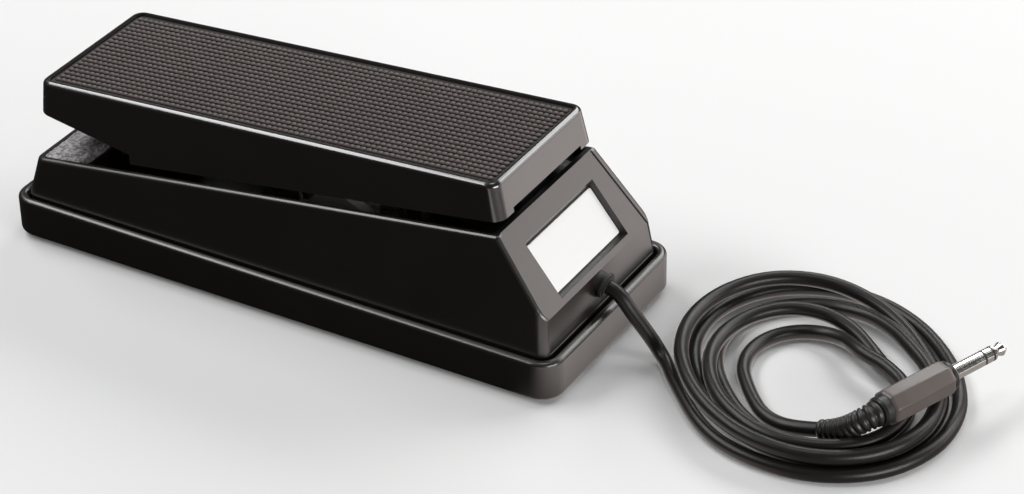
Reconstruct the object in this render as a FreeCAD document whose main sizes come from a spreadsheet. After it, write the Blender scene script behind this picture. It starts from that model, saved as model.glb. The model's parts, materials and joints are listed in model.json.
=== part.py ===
import FreeCAD, Part
import math
import os

import Sketcher
from FreeCAD import Placement, Rotation, Vector

# Expression pedal: a treadle that rocks on a shaft over a tray, a moulded housing round it,
# a geared potentiometer inside, and a coiled cable that ends in a quarter inch plug.
# Frame: X runs from heel (-) to toe (+), Z is up, Z = 0 is the floor, the origin is under
# the middle of the tray.

doc = FreeCAD.newDocument("expression_pedal")
sheet = doc.addObject("Spreadsheet::Sheet", "sizes")

# Driving dimensions, in millimetres and degrees
SIZES = [
    ("tray_length", 270.0),
    ("tray_width", 104.0),
    ("tray_top", 19.6),
    ("tray_corner", 10.0),
    ("foot_height", 1.5),
    ("foot_radius", 8.0),
    ("foot_inset", 17.0),
    ("floor_thickness", 2.5),
    ("rim_wall", 4.3),
    ("rim_round", 1.9),
    ("base_round", 2.6),
    ("seam_gap", 1.0),
    ("overrun", 1.0),
    ("fuse_depth", 0.5),
    ("ledge", 0.2),
    ("housing_wall", 2.5),
    ("housing_corner", 5.0),
    ("side_lean", 0.154),
    ("heel_top_inset", 4.5),
    ("heel_top_height", 37.2),
    ("taper_rise", 10.0),
    ("crest_height", 65.3),
    ("slant_run", 24.5),
    ("brow_setback", 1.5),
    ("brow_height", 34.3),
    ("bead_width", 3.2),
    ("bead_step", 0.5),
    ("bead_round", 1.8),
    ("shelf_length", 25.2),
    ("shelf_drop", 3.4),
    ("shelf_thickness", 2.5),
    ("pad_clearance", 0.3),
    ("pad_setback", 0.5),
    ("pad_rise", 1.2),
    ("label_start", 9.0),
    ("label_end", 36.8),
    ("label_half_width", 27.6),
    ("label_depth", 3.6),
    ("label_draft", 2.4),
    ("label_backing", 2.0),
    ("backing_margin", 2.0),
    ("backing_setback", 1.0),
    ("plate_thickness", 0.8),
    ("plate_corner", 0.8),
    ("plate_gap", 0.3),
    ("pivot_reach", -12.0),
    ("pivot_height", 47.5),
    ("rest_tilt", 3.8),
    ("treadle_heel_gap", 11.9),
    ("treadle_toe_gap", 31.6),
    ("treadle_side_gap", 10.4),
    ("treadle_top", 31.25),
    ("treadle_corner", 5.5),
    ("treadle_round", 2.2),
    ("end_draft", 0.14),
    ("side_draft", 0.07),
    ("outline_spread", 8.0),
    ("treadle_wall", 2.5),
    ("deck_thickness", 2.5),
    ("mat_recess", 2.2),
    ("mat_inset", 2.5),
    ("mat_gap", 0.2),
    ("mat_margin", 2.9),
    ("mat_rib_end", 1.0),
    ("mat_base", 0.9),
    ("mat_rib_height", 0.9),
    ("mat_rib_width", 1.75),
    ("mat_rib_count", 20),
    ("heel_skirt_bottom", 18.2),
    ("step_reach", -66.0),
    ("step_top", 6.3),
    ("step_bottom", 1.8),
    ("toe_skirt_bottom", 15.8),
    ("notch_half_width", 27.0),
    ("notch_height", 1.5),
    ("shaft_radius", 3.0),
    ("shaft_half_length", 26.0),
    ("fit_clearance", 0.05),
    ("running_gap", 0.3),
    ("lug_inner", 15.0),
    ("lug_thickness", 4.0),
    ("lug_half_length", 11.0),
    ("lug_drop", 8.0),
    ("bush_wall", 2.0),
    ("bush_flange", 0.7),
    ("bush_flange_width", 1.75),
    ("ear_thickness", 2.0),
    ("ear_half_length", 9.0),
    ("ear_rise", 7.5),
    ("ear_foot", 6.0),
    ("ear_shoulder", 4.0),
    ("ear_chamfer", 2.0),
    ("seat_height", 2.5),
    ("seat_margin", 1.9),
    ("seat_hole_depth", 4.0),
    ("bracket_sheet", 1.5),
    ("bracket_half_length", 16.0),
    ("bracket_screw_reach", 11.0),
    ("bracket_screw_side", 11.0),
    ("clip_groove_depth", 0.7),
    ("clip_thickness", 0.7),
    ("clip_reach", 2.2),
    ("clip_play", 0.1),
    ("clip_mouth", 3.2),
    ("gear_module", 0.8),
    ("sector_teeth", 100),
    ("pinion_teeth", 12),
    ("gear_face", 5.0),
    ("gear_backlash", 0.16),
    ("pressure_angle", 25.0),
    ("sector_addendum", 0.6),
    ("sector_dedendum", 1.15),
    ("pinion_addendum", 0.75),
    ("pinion_dedendum", 0.95),
    ("mesh_angle", -22.0),
    ("sector_first", -40.0),
    ("sector_last", -13.0),
    ("sector_screw_reach", 7.0),
    ("sector_screw_rise", 8.0),
    ("bush_room", 1.0),
    ("press_clearance", 0.02),
    ("pot_radius", 12.0),
    ("pot_depth", 10.5),
    ("pot_round", 0.8),
    ("pot_thread_radius", 4.5),
    ("pot_thread_length", 6.0),
    ("pot_shaft_radius", 3.0),
    ("pot_shaft_seat", 4.0),
    ("pot_shaft_end", 1.0),
    ("pot_slot_width", 0.8),
    ("pot_slot_depth", 1.0),
    ("pot_nut_radius", 7.0),
    ("pot_nut_height", 2.5),
    ("pot_washer", 0.7),
    ("pot_washer_margin", 0.6),
    ("pot_plate_half", 13.5),
    ("pot_flange_depth", 19.0),
    ("pot_screw_inset", 5.0),
    ("tab_pitch", 5.0),
    ("tab_width", 2.4),
    ("tab_thickness", 0.8),
    ("tab_side", 5.0),
    ("tab_height", 4.0),
    ("screw_radius", 1.5),
    ("screw_head_radius", 2.9),
    ("screw_head_height", 2.0),
    ("short_screw", 4.8),
    ("long_screw", 14.0),
    ("screw_recess", 0.5),
    ("socket_radius", 1.4),
    ("socket_depth", 1.2),
    ("post_radius", 4.5),
    ("post_top", 22.0),
    ("post_cap", 3.0),
    ("post_side_inset", 12.0),
    ("post_end_inset", 35.0),
    ("toe_shelf_length", 13.0),
    ("toe_shelf_setback", 4.7),
    ("toe_shelf_root", 6.0),
    ("toe_shelf_drop", 5.3),
    ("toe_shelf_thickness", 3.0),
    ("bumper_height", 4.0),
    ("bumper_half_width", 12.0),
    ("bumper_inset", 1.5),
    ("bumper_corner", 2.5),
    ("stop_half_length", 3.0),
    ("stop_margin", 2.0),
    ("cord_diameter", 6.2),
    ("exit_inset", 3.0),
    ("exit_height", 28.0),
    ("exit_tilt", 15.0),
    ("inner_run", 12.0),
    ("inner_inset", 35.0),
    ("channel_clearance", 0.7),
    ("grommet_wall", 1.5),
    ("grommet_flange", 1.3),
    ("grommet_length", 6.4),
    ("grommet_lip", 1.0),
    ("grommet_setback", 0.65),
    ("clamp_inset", 27.0),
    ("clamp_half_length", 4.0),
    ("clamp_wall", 1.6),
    ("lead_radius", 0.7),
    ("lead_spacing", 2.0),
    ("lead_crown", 52.0),
    ("lead_solder", 1.0),
    ("lead_end_side", 1.9),
    ("lead_straight", 9.0),
    ("coil_reach", 219.0),
    ("coil_side", 18.0),
    ("coil_layer_gap", 0.6),
    ("handle_flat", 14.0),
    ("handle_length", 33.0),
    ("handle_back_taper", 1.6),
    ("handle_front_taper", 2.4),
    ("handle_draw_in", 0.6),
    ("handle_side", -13.0),
    ("handle_reach", 261.3),
    ("handle_height", 20.4),
    ("handle_heading", 69.1),
    ("collar_radius", 6.1),
    ("collar_length", 4.0),
    ("collar_chamfer", 0.9),
    ("boot_ribs", 11),
    ("boot_tail_radius", 4.0),
    ("boot_front_radius", 5.3),
    ("boot_groove", 0.9),
    ("flange_radius", 6.3),
    ("flange_length", 2.2),
    ("flange_chamfer", 0.7),
    ("plug_radius", 3.175),
    ("plug_sleeve", 17.2),
    ("ring_insulator", 1.0),
    ("ring_contact", 3.6),
    ("tip_length", 8.2),
]
for row, (alias, number) in enumerate(SIZES, start=1):
    sheet.set("A%d" % row, str(number))
    sheet.setAlias("A%d" % row, alias)
doc.recompute()


def size(alias):
    return float(sheet.get(alias))


# Expressions that several pieces share
FLOOR_TOP = "sizes.foot_height + sizes.floor_thickness"
SEAT_TOP = FLOOR_TOP + " + sizes.seat_height"
HALF_LENGTH = "sizes.tray_length / 2"
HALF_WIDTH = "sizes.tray_width / 2"
BODY_HALF_LENGTH = HALF_LENGTH + " - sizes.rim_wall - sizes.seam_gap"
BODY_HALF_WIDTH = HALF_WIDTH + " - sizes.rim_wall - sizes.seam_gap"
BROW_REACH = "(%s - sizes.brow_setback)" % BODY_HALF_LENGTH
CREST_REACH = "(%s - sizes.slant_run)" % BROW_REACH
SHELF_EDGE = "(sizes.shelf_length - (%s))" % BODY_HALF_LENGTH
TOE_SHELF_END = "(%s - sizes.toe_shelf_setback)" % CREST_REACH
TOE_SHELF_START = "(%s - sizes.toe_shelf_length)" % TOE_SHELF_END
TOE_SHELF_TOP = "(sizes.crest_height - sizes.toe_shelf_drop)"
TREADLE_HEEL = "(sizes.treadle_heel_gap - %s - sizes.pivot_reach)" % HALF_LENGTH
TREADLE_TOE = "(%s - sizes.pivot_reach - sizes.treadle_toe_gap)" % HALF_LENGTH
TREADLE_HALF_WIDTH = "(%s - sizes.treadle_side_gap)" % BODY_HALF_WIDTH
CLAMP_REACH = "(%s - sizes.clamp_inset)" % HALF_LENGTH
CLAMP_HALF_WIDTH = "(sizes.cord_diameter / 2 + sizes.clamp_wall + 2 * sizes.screw_head_radius)"
SLANT_LENGTH = ("sqrt(sizes.slant_run ^ 2"
                " + (sizes.crest_height - sizes.brow_height) ^ 2)")
SLANT_INSET = "* " + SLANT_LENGTH + " / (sizes.crest_height - sizes.brow_height)"
EAR_OUTER = ("sizes.lug_inner + sizes.lug_thickness + sizes.bush_flange + sizes.running_gap"
             " + sizes.ear_thickness")

# Numbers worked out from the sheet, for pieces whose shape is set directly
FLOOR = size("foot_height") + size("floor_thickness")
SEAT = FLOOR + size("seat_height")
BEYOND = size("overrun")
TRAY_HALF = size("tray_length") / 2
BODY_HALF = TRAY_HALF - size("rim_wall") - size("seam_gap")
CREST_X = BODY_HALF - size("brow_setback") - size("slant_run")
PIVOT = Vector(size("pivot_reach"), 0, size("pivot_height"))
TREADLE = Placement(PIVOT, Rotation(Vector(0, -1, 0), size("rest_tilt")))
EAR_INNER_SIDE = (size("lug_inner") + size("lug_thickness") + size("bush_flange")
                  + size("running_gap"))
EAR_OUTER_SIDE = EAR_INNER_SIDE + size("ear_thickness")
SHAFT_FIT = size("shaft_radius") + size("fit_clearance")
BUSH_RADIUS = SHAFT_FIT + size("bush_wall")
TREADLE_HEEL_X = size("treadle_heel_gap") - TRAY_HALF - size("pivot_reach")
TREADLE_TOE_X = TRAY_HALF - size("pivot_reach") - size("treadle_toe_gap")
TREADLE_HALF = size("tray_width") / 2 - TRAY_HALF + BODY_HALF - size("treadle_side_gap")
SECTOR_PITCH = size("gear_module") * size("sector_teeth") / 2
PINION_PITCH = size("gear_module") * size("pinion_teeth") / 2
MESH = math.radians(size("mesh_angle"))
POT_X = PIVOT.x + (SECTOR_PITCH + PINION_PITCH) * math.cos(MESH)
POT_Z = PIVOT.z + (SECTOR_PITCH + PINION_PITCH) * math.sin(MESH)
POT_FACE = size("bracket_sheet") / 2
SCREW_FIT = size("screw_radius") + size("fit_clearance")
CORD_RADIUS = size("cord_diameter") / 2
CLAMP_X = TRAY_HALF - size("clamp_inset")
INNER_END = TRAY_HALF - size("inner_inset")


# Helpers: bound primitives
def bind(item, **expressions):
    for name, expression in expressions.items():
        item.setExpression(name.replace("__", "."), expression)
    return item


def box(name, x, y, z, length, width, height):
    item = doc.addObject("Part::Box", name)
    return bind(item, Length=length, Width=width, Height=height,
                Placement__Base__x=x, Placement__Base__y=y, Placement__Base__z=z)


def centred_box(name, x, z, length, half_width, height):
    return box(name, x, "-(%s)" % half_width, z, length, "2 * (%s)" % half_width, height)


def rod(name, radius, height, placement):
    item = doc.addObject("Part::Cylinder", name)
    item.Placement = placement
    return bind(item, Radius=radius, Height=height)


def upright(x, y, z):
    return Placement(Vector(x, y, z), Rotation())


def along_y(x, y, z):
    return Placement(Vector(x, y, z), Rotation(Vector(1, 0, 0), -90))


def along(point, direction):
    return Placement(point, Rotation(Vector(0, 0, 1), direction))


def fused(name, items):
    item = doc.addObject("Part::MultiFuse", name)
    item.Shapes = items
    return item


def common(name, items):
    item = doc.addObject("Part::MultiCommon", name)
    item.Shapes = items
    return item


def cut(name, base, tools):
    item = doc.addObject("Part::Cut", name)
    item.Base = base
    item.Tool = tools[0] if len(tools) == 1 else fused(name + "_tools", tools)
    return item


def rounded(name, base, radius, picks):
    doc.recompute()
    item = doc.addObject("Part::Fillet", name)
    item.Base = base
    item.Edges = [(i, radius, radius) for i, edge in enumerate(base.Shape.Edges, start=1)
                  if picks(edge)]
    return item


# Helpers: sketches and prisms
def outline(name, points, body=None, plane="XZ_Plane"):
    if body is None:
        sketch = doc.addObject("Sketcher::SketchObject", name)
        if plane == "XZ_Plane":
            sketch.Placement = Placement(Vector(0, 0, 0), Rotation(Vector(1, 0, 0), 90))
    else:
        sketch = body.newObject("Sketcher::SketchObject", name)
        origin = [p for p in body.Origin.OriginFeatures if p.Role == plane]
        sketch.AttachmentSupport = [(origin[0], "")]
        sketch.MapMode = "FlatFace"
    corner_count = len(points)
    turn = 2 * math.pi / corner_count
    start = [Vector(math.cos(turn * i), math.sin(turn * i), 0) for i in range(corner_count)]
    for i in range(corner_count):
        sketch.addGeometry(Part.LineSegment(start[i], start[(i + 1) % corner_count]), False)
    for i in range(corner_count):
        sketch.addConstraint(Sketcher.Constraint("Coincident", i, 2, (i + 1) % corner_count, 1))
    for i, (first, second) in enumerate(points):
        for kind, expression, value in (("DistanceX", first, start[i].x),
                                        ("DistanceY", second, start[i].y)):
            index = sketch.addConstraint(Sketcher.Constraint(kind, -1, 1, i, 1, value))
            sketch.setExpression("Constraints[%d]" % index, expression)
    return sketch


def prism(name, points, width, plane="XZ_Plane"):
    item = doc.addObject("Part::Extrusion", name)
    item.Base = outline(name + "_outline", points, plane=plane)
    item.DirMode = "Normal"
    item.Solid = True
    item.Symmetric = True
    item.setExpression("LengthFwd", width)
    return item


def new_body(name):
    return doc.addObject("PartDesign::Body", name)


def pad(body, name, sketch, length):
    item = body.newObject("PartDesign::Pad", name)
    item.Profile = sketch
    item.setExpression("Length", length)
    sketch.Visibility = False
    return item


def body_fillet(body, name, feature, radius, picks):
    doc.recompute()
    item = body.newObject("PartDesign::Fillet", name)
    edges = ["Edge%d" % i for i, edge in enumerate(feature.Shape.Edges, start=1) if picks(edge)]
    item.Base = (feature, edges)
    item.setExpression("Radius", radius)
    return item


def runs_along(edge, axis, share=0.9):
    first = edge.Vertexes[0].Point
    last = edge.Vertexes[-1].Point
    span = last - first
    if span.Length < 0.01:
        return False
    return abs(getattr(span, axis)) / span.Length > share


def lies_at(edge, height, slack=0.01):
    return all(abs(v.Z - height) < slack for v in edge.Vertexes)


# Blocks with rounded upright corners: x0 to x1, half_width each side, z0 up
def corner_block(name, x0, x1, half_width, z0, height, corner):
    body = new_body(name)
    block = body.newObject("PartDesign::AdditiveBox", name + "_box")
    bind(block, Length="(%s) - (%s)" % (x1, x0), Width="2 * (%s)" % half_width, Height=height)
    body_fillet(body, name + "_corners", block, corner, lambda e: runs_along(e, "z"))
    return bind(body, Placement__Base__x=x0, Placement__Base__y="-(%s)" % half_width,
                Placement__Base__z=z0)


# Tapered blocks: the wedge stands on its own Y axis, so the body is turned up to Z
def corner_taper(name, low, high, z0, z1, corner):
    body = new_body(name)
    wedge = body.newObject("PartDesign::AdditiveWedge", name + "_wedge")
    bind(wedge, Xmin=low[0], Xmax=low[1], Zmin="-(%s)" % low[2], Zmax=low[2],
         X2min=high[0], X2max=high[1], Z2min="-(%s)" % high[2], Z2max=high[2],
         Ymin=z0, Ymax=z1)
    body_fillet(body, name + "_corners", wedge, corner, lambda e: runs_along(e, "y", 0.8))
    body.Placement = Placement(Vector(0, 0, 0), Rotation(Vector(1, 0, 0), 90))
    return body


# Standing tray with a rolled rim, seats for the brackets and screw collars
TAPER_TOP = "(sizes.crest_height + sizes.taper_rise)"


def base_tray():
    outer = corner_block("tray_outer", "-(%s)" % HALF_LENGTH, HALF_LENGTH, HALF_WIDTH,
                         "sizes.foot_height", "sizes.tray_top - sizes.foot_height",
                         "sizes.tray_corner")
    bottom = size("foot_height")
    soft = rounded("tray_soft_bottom", outer, size("base_round"), lambda e: lies_at(e, bottom))
    hollow = corner_block("tray_hollow", "-(%s) + sizes.rim_wall" % HALF_LENGTH,
                          HALF_LENGTH + " - sizes.rim_wall", HALF_WIDTH + " - sizes.rim_wall",
                          FLOOR_TOP, "sizes.tray_top", "sizes.tray_corner - sizes.rim_wall")
    shell = cut("tray_shell", soft, [hollow])
    top = size("tray_top")
    rim = rounded("tray_rim", shell, size("rim_round"), lambda e: lies_at(e, top))
    seats = [
        centred_box("pivot_seat", "sizes.pivot_reach - sizes.bracket_half_length", FLOOR_TOP,
                    "2 * sizes.bracket_half_length",
                    "sizes.bracket_screw_side + sizes.screw_head_radius + sizes.seat_margin",
                    "sizes.seat_height"),
        box("pot_seat", "%.3f - sizes.pot_plate_half" % POT_X, "-sizes.bracket_sheet / 2",
            FLOOR_TOP, "2 * sizes.pot_plate_half", "sizes.pot_flange_depth",
            "sizes.seat_height"),
        centred_box("clamp_post", CLAMP_REACH + " - sizes.clamp_half_length", FLOOR_TOP,
                    "2 * sizes.clamp_half_length", CLAMP_HALF_WIDTH,
                    "%.3f" % (inner_height() - CORD_RADIUS - FLOOR)),
    ]
    for i, (x, y) in enumerate(post_places()):
        seats.append(rod("screw_collar_%d" % i, "sizes.post_radius",
                         "sizes.seat_height", upright(x, y, FLOOR)))
    full = fused("tray_with_seats", [rim] + seats)
    holes = []
    for i, (x, y) in enumerate(post_places()):
        holes.append(rod("collar_hole_%d" % i, "sizes.screw_radius + sizes.fit_clearance",
                         SEAT_TOP + " + sizes.overrun", upright(x, y, 0)))
        holes.append(rod("counterbore_%d" % i, "sizes.screw_head_radius + sizes.running_gap",
                         FLOOR_TOP, upright(x, y, 0)))
    for i, (x, y, z) in enumerate(bracket_screw_places() + clamp_screw_places()):
        holes.append(rod("seat_hole_%d" % i, "sizes.screw_radius + sizes.fit_clearance",
                         "sizes.seat_hole_depth + sizes.overrun",
                         upright(x, y, z - size("seat_hole_depth"))))
    return cut("base_tray", full, holes)


def post_places():
    reach = TRAY_HALF - size("post_end_inset")
    side = size("tray_width") / 2 - size("post_side_inset")
    return [(x, y) for x in (-reach, reach) for y in (-side, side)]


def bracket_screw_places():
    reach = size("bracket_screw_reach")
    side = size("bracket_screw_side")
    places = [(PIVOT.x + i * reach, j * side, SEAT) for i in (-1, 1) for j in (-1, 1)]
    flange_middle = POT_FACE + size("pot_flange_depth") - 2 * size("screw_head_radius")
    spread = size("pot_plate_half") - size("pot_screw_inset")
    return places + [(POT_X + i * spread, flange_middle, SEAT) for i in (-1, 1)]


def clamp_screw_places():
    side = CORD_RADIUS + size("clamp_wall") + size("screw_head_radius")
    return [(CLAMP_X, j * side, inner_height() - CORD_RADIUS) for j in (-1, 1)]


def inner_height():
    return size("exit_height") + size("inner_run") * math.sin(math.radians(size("exit_tilt")))


# Moulded housing: leaning side walls, a heel shelf, a slanted toe panel with a label recess
def housing_lines(inset, crest_inset):
    heel = "-(%s) + %s" % (BODY_HALF_LENGTH, inset)
    return [
        (heel, "0"),
        (heel, "sizes.tray_top"),
        ("%s + sizes.heel_top_inset" % heel, "sizes.heel_top_height"),
        (CREST_REACH + " - " + crest_inset, "sizes.crest_height"),
        (BROW_REACH + " - " + crest_inset, "sizes.brow_height"),
        ("%s - %s" % (BODY_HALF_LENGTH, inset), "sizes.tray_top"),
        ("%s - %s" % (BODY_HALF_LENGTH, inset), "0"),
    ]


def side_reach(inset):
    lean = "sizes.side_lean * (%s - sizes.tray_top)" % TAPER_TOP
    half = "(%s - %s)" % (BODY_HALF_WIDTH, inset)
    half_length = "(%s - %s)" % (BODY_HALF_LENGTH, inset)
    heel_lean = ("sizes.heel_top_inset * (%s - sizes.tray_top)"
                 " / (sizes.heel_top_height - sizes.tray_top)" % TAPER_TOP)
    toe_lean = ("sizes.brow_setback * (%s - sizes.tray_top)"
                " / (sizes.brow_height - sizes.tray_top)" % TAPER_TOP)
    low = ("-" + half_length, half_length, half)
    high = ("-%s + %s" % (half_length, heel_lean), "%s - %s" % (half_length, toe_lean),
            "%s - %s" % (half, lean))
    return low, high


def leaning_block(name, inset, corner, z0):
    low, high = side_reach(inset)
    upper = corner_taper(name + "_upper", low, high, "sizes.tray_top", TAPER_TOP, corner)
    hidden = side_reach("(%s + sizes.ledge)" % inset)[0]
    lower = corner_block(name + "_lower", hidden[0], hidden[1], hidden[2], z0,
                         "sizes.tray_top - (%s)" % z0, corner)
    return fused(name, [upper, lower])


def upper_housing():
    wall = "sizes.housing_wall"
    outer = common("housing_outer", [
        leaning_block("housing_block", "0", "sizes.housing_corner", SEAT_TOP),
        prism("housing_side", housing_lines("0", "0"), "sizes.tray_width"),
    ])
    # The bead is rounded where a shoe and hands reach it: all edges above the shelf's top
    shelf_level = size("heel_top_height") - size("shelf_drop")
    outer = rounded("housing_soft", outer, size("bead_round"),
                    lambda e: min(v.Z for v in e.Vertexes) > shelf_level)
    shelf_top = "sizes.heel_top_height - sizes.shelf_drop"
    shelf_bottom = shelf_top + " - sizes.shelf_thickness"
    heel = "-(%s) + %s" % (BODY_HALF_LENGTH, wall)
    inset = wall + " " + SLANT_INSET
    slope = "sizes.slant_run / (sizes.crest_height - sizes.brow_height)"
    cavity_lines = [
        (heel, "0"),
        (heel, shelf_bottom),
        (SHELF_EDGE, shelf_bottom),
        (SHELF_EDGE, TAPER_TOP),
        ("%s - %s - %s * sizes.taper_rise" % (CREST_REACH, inset, slope), TAPER_TOP),
        (BROW_REACH + " - " + inset, "sizes.brow_height"),
        ("%s - %s" % (BODY_HALF_LENGTH, wall), "sizes.tray_top"),
        ("%s - %s" % (BODY_HALF_LENGTH, wall), "0"),
    ]
    cavity = common("housing_cavity", [
        leaning_block("cavity_block", wall, "sizes.housing_corner - sizes.housing_wall", "0"),
        prism("cavity_side", cavity_lines, "sizes.tray_width"),
    ])
    pad_room = common("pad_room", [
        leaning_block("pad_block", wall, "sizes.housing_corner - sizes.housing_wall", "0"),
        centred_box("pad_slot", "-(%s)" % HALF_LENGTH, shelf_top,
                    "%s + %s + sizes.overrun" % (HALF_LENGTH, SHELF_EDGE), HALF_WIDTH,
                    "sizes.crest_height"),
    ])
    shell = cut("housing_shell", outer, [cavity, pad_room])
    doc.recompute()
    ledge = common("toe_ledge", [
        leaning_block("ledge_block", "sizes.housing_wall / 2", "sizes.housing_corner / 2", "0"),
        centred_box("ledge_slab", TOE_SHELF_START,
                    TOE_SHELF_TOP + " - sizes.toe_shelf_thickness",
                    "sizes.toe_shelf_length + sizes.toe_shelf_root", HALF_WIDTH,
                    "sizes.toe_shelf_thickness"),
        prism("ledge_side", housing_lines("0", "sizes.housing_wall / 2"), "sizes.tray_width"),
    ])
    backing = on_slant(centred_box(
        "label_backing_block", "sizes.label_start - sizes.backing_margin",
        "-sizes.label_depth - sizes.label_backing",
        "sizes.label_end - sizes.label_start + 2 * sizes.backing_margin",
        "sizes.label_half_width + sizes.backing_margin",
        "sizes.label_depth + sizes.label_backing - sizes.backing_setback"))
    posts = [rod("housing_post_%d" % i, "sizes.post_radius", "sizes.post_top - (%s)" % SEAT_TOP,
                 upright(x, y, SEAT)) for i, (x, y) in enumerate(post_places())]
    solid = fused("housing_solid", [shell, ledge, backing] + posts)
    bores = [rod("post_bore_%d" % i, "sizes.screw_radius + sizes.fit_clearance",
                 "sizes.post_top - sizes.post_cap", upright(x, y, 0))
             for i, (x, y) in enumerate(post_places())]
    channel = rod("cord_channel", "sizes.cord_diameter / 2 + sizes.channel_clearance",
                  "sizes.inner_inset - sizes.exit_inset - sizes.inner_run"
                  " + sizes.cord_diameter / 2",
                  Placement(Vector(INNER_END, 0, inner_height()),
                            Rotation(Vector(0, 1, 0), 90)))
    exit_hole = rod("cord_hole", "sizes.cord_diameter / 2 + sizes.grommet_wall"
                    " + sizes.fit_clearance", "2 * sizes.inner_run",
                    exit_placement(-size("inner_run") - 2 * BEYOND))
    return cut("upper_housing", solid, [panel_step(), label_recess(), exit_hole, channel] + bores)


def on_slant(item):
    # The same object, read in the frame of the slanted panel: X down the slope, Z out of it
    carrier = doc.addObject("Part::Compound", item.Name + "_on_slant")
    carrier.Links = [item]
    carrier.Placement = slant_frame()
    return carrier


def slant_frame():
    run = size("slant_run")
    fall = size("crest_height") - size("brow_height")
    crest = Vector(CREST_X, 0, size("crest_height"))
    return Placement(crest, Rotation(Vector(0, 1, 0), math.degrees(math.atan2(fall, run))))


# The toe panel sits a step below the beads that run down its two edges
def panel_step():
    step = "sizes.bead_step " + SLANT_INSET
    low, high = side_reach("sizes.bead_width")
    reach = "sizes.tray_length"
    taper = corner_taper("step_taper", ("0", reach, low[2]), ("0", reach, high[2]),
                         "sizes.tray_top", TAPER_TOP, "sizes.bead_step")
    lines = [
        (CREST_REACH + " - " + step, "sizes.crest_height"),
        ("%s - %s - sizes.overrun" % (CREST_REACH, step), "sizes.crest_height + sizes.overrun"),
        (reach, "sizes.crest_height + sizes.overrun"),
        (reach, "sizes.tray_top"),
        ("%s - sizes.bead_step" % BODY_HALF_LENGTH, "sizes.tray_top"),
        (BROW_REACH + " - " + step, "sizes.brow_height"),
    ]
    return common("panel_step", [taper, prism("step_side", lines, "sizes.tray_width")])


def label_recess():
    wedge = doc.addObject("Part::Wedge", "label_recess_wedge")
    # The wedge narrows along its own Y, which is turned to point into the panel
    bind(wedge, Xmin="sizes.label_start", Xmax="sizes.label_end",
         Zmin="-sizes.label_half_width", Zmax="sizes.label_half_width",
         X2min="sizes.label_start + sizes.label_draft",
         X2max="sizes.label_end - sizes.label_draft",
         Z2min="-sizes.label_half_width + sizes.label_draft / 2",
         Z2max="sizes.label_half_width - sizes.label_draft / 2",
         Ymin="0", Ymax="sizes.label_depth")
    wedge.Placement = Placement(Vector(0, 0, 0), Rotation(Vector(1, 0, 0), -90))
    return on_slant(wedge)


def label_plate():
    block = corner_block("label_plate_block",
                         "sizes.label_start + sizes.label_draft + sizes.plate_gap",
                         "sizes.label_end - sizes.label_draft - sizes.plate_gap",
                         "sizes.label_half_width - sizes.label_draft / 2 - sizes.plate_gap",
                         "-sizes.label_depth", "sizes.plate_thickness", "sizes.plate_corner")
    plate = on_slant(block)
    plate.Label = "label_plate"
    return plate


# Foam strip that lies on the heel shelf, between the housing walls
def heel_foam_pad():
    gap = "(sizes.housing_wall + sizes.pad_clearance)"
    strip = common("heel_foam_pad", [
        leaning_block("pad_form", gap, "sizes.housing_corner - sizes.housing_wall", "0"),
        centred_box("pad_slab", "-(%s)" % HALF_LENGTH,
                    "sizes.heel_top_height - sizes.shelf_drop",
                    "%s + %s - sizes.pad_setback" % (HALF_LENGTH, SHELF_EDGE), HALF_WIDTH,
                    "sizes.shelf_drop + sizes.pad_rise"),
    ])
    return strip


def toe_bumper():
    return corner_block("toe_bumper", TOE_SHELF_START + " + sizes.bumper_inset",
                        TOE_SHELF_END + " - sizes.bumper_inset",
                        "sizes.bumper_half_width", TOE_SHELF_TOP,
                        "sizes.bumper_height", "sizes.bumper_corner")


# Steel bracket folded from sheet: a base on the seat and an ear on each side of the shaft
def pivot_bracket():
    outer = EAR_OUTER
    rise = "sizes.pivot_height + sizes.ear_rise"
    base = centred_box("bracket_base", "sizes.pivot_reach - sizes.bracket_half_length", SEAT_TOP,
                       "2 * sizes.bracket_half_length", outer, "sizes.bracket_sheet")
    foot = "sizes.bracket_half_length"
    tip = "sizes.ear_half_length"
    shoulder = "sizes.pivot_height - sizes.ear_shoulder"
    ear_lines = [
        ("sizes.pivot_reach - " + foot, SEAT_TOP),
        ("sizes.pivot_reach + " + foot, SEAT_TOP),
        ("sizes.pivot_reach + " + foot, SEAT_TOP + " + sizes.ear_foot"),
        ("sizes.pivot_reach + " + tip, shoulder),
        ("sizes.pivot_reach + %s - sizes.ear_chamfer" % tip, rise),
        ("sizes.pivot_reach - %s + sizes.ear_chamfer" % tip, rise),
        ("sizes.pivot_reach - " + tip, shoulder),
        ("sizes.pivot_reach - " + foot, SEAT_TOP + " + sizes.ear_foot"),
    ]
    ears = cut("bracket_ears", prism("ear_block", ear_lines, "2 * (%s)" % outer),
               [centred_box("ear_gap", "sizes.pivot_reach - 2 * " + foot, "0", "4 * " + foot,
                            outer + " - sizes.ear_thickness", "2 * sizes.pivot_height")])
    solid = fused("bracket_solid", [base, ears])
    holes = [rod("bracket_bore", "sizes.shaft_radius + sizes.fit_clearance / 2",
                 "4 * sizes.shaft_half_length", along_y(PIVOT.x, -2 * size("shaft_half_length"),
                                                        PIVOT.z))]
    for i, (x, y, z) in enumerate(bracket_screw_places()[:4]):
        holes.append(rod("bracket_hole_%d" % i, "sizes.screw_radius + 2 * sizes.fit_clearance",
                         "sizes.bracket_sheet + 2 * sizes.overrun", upright(x, y, z - BEYOND)))
    return cut("pivot_bracket", solid, holes)


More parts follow.
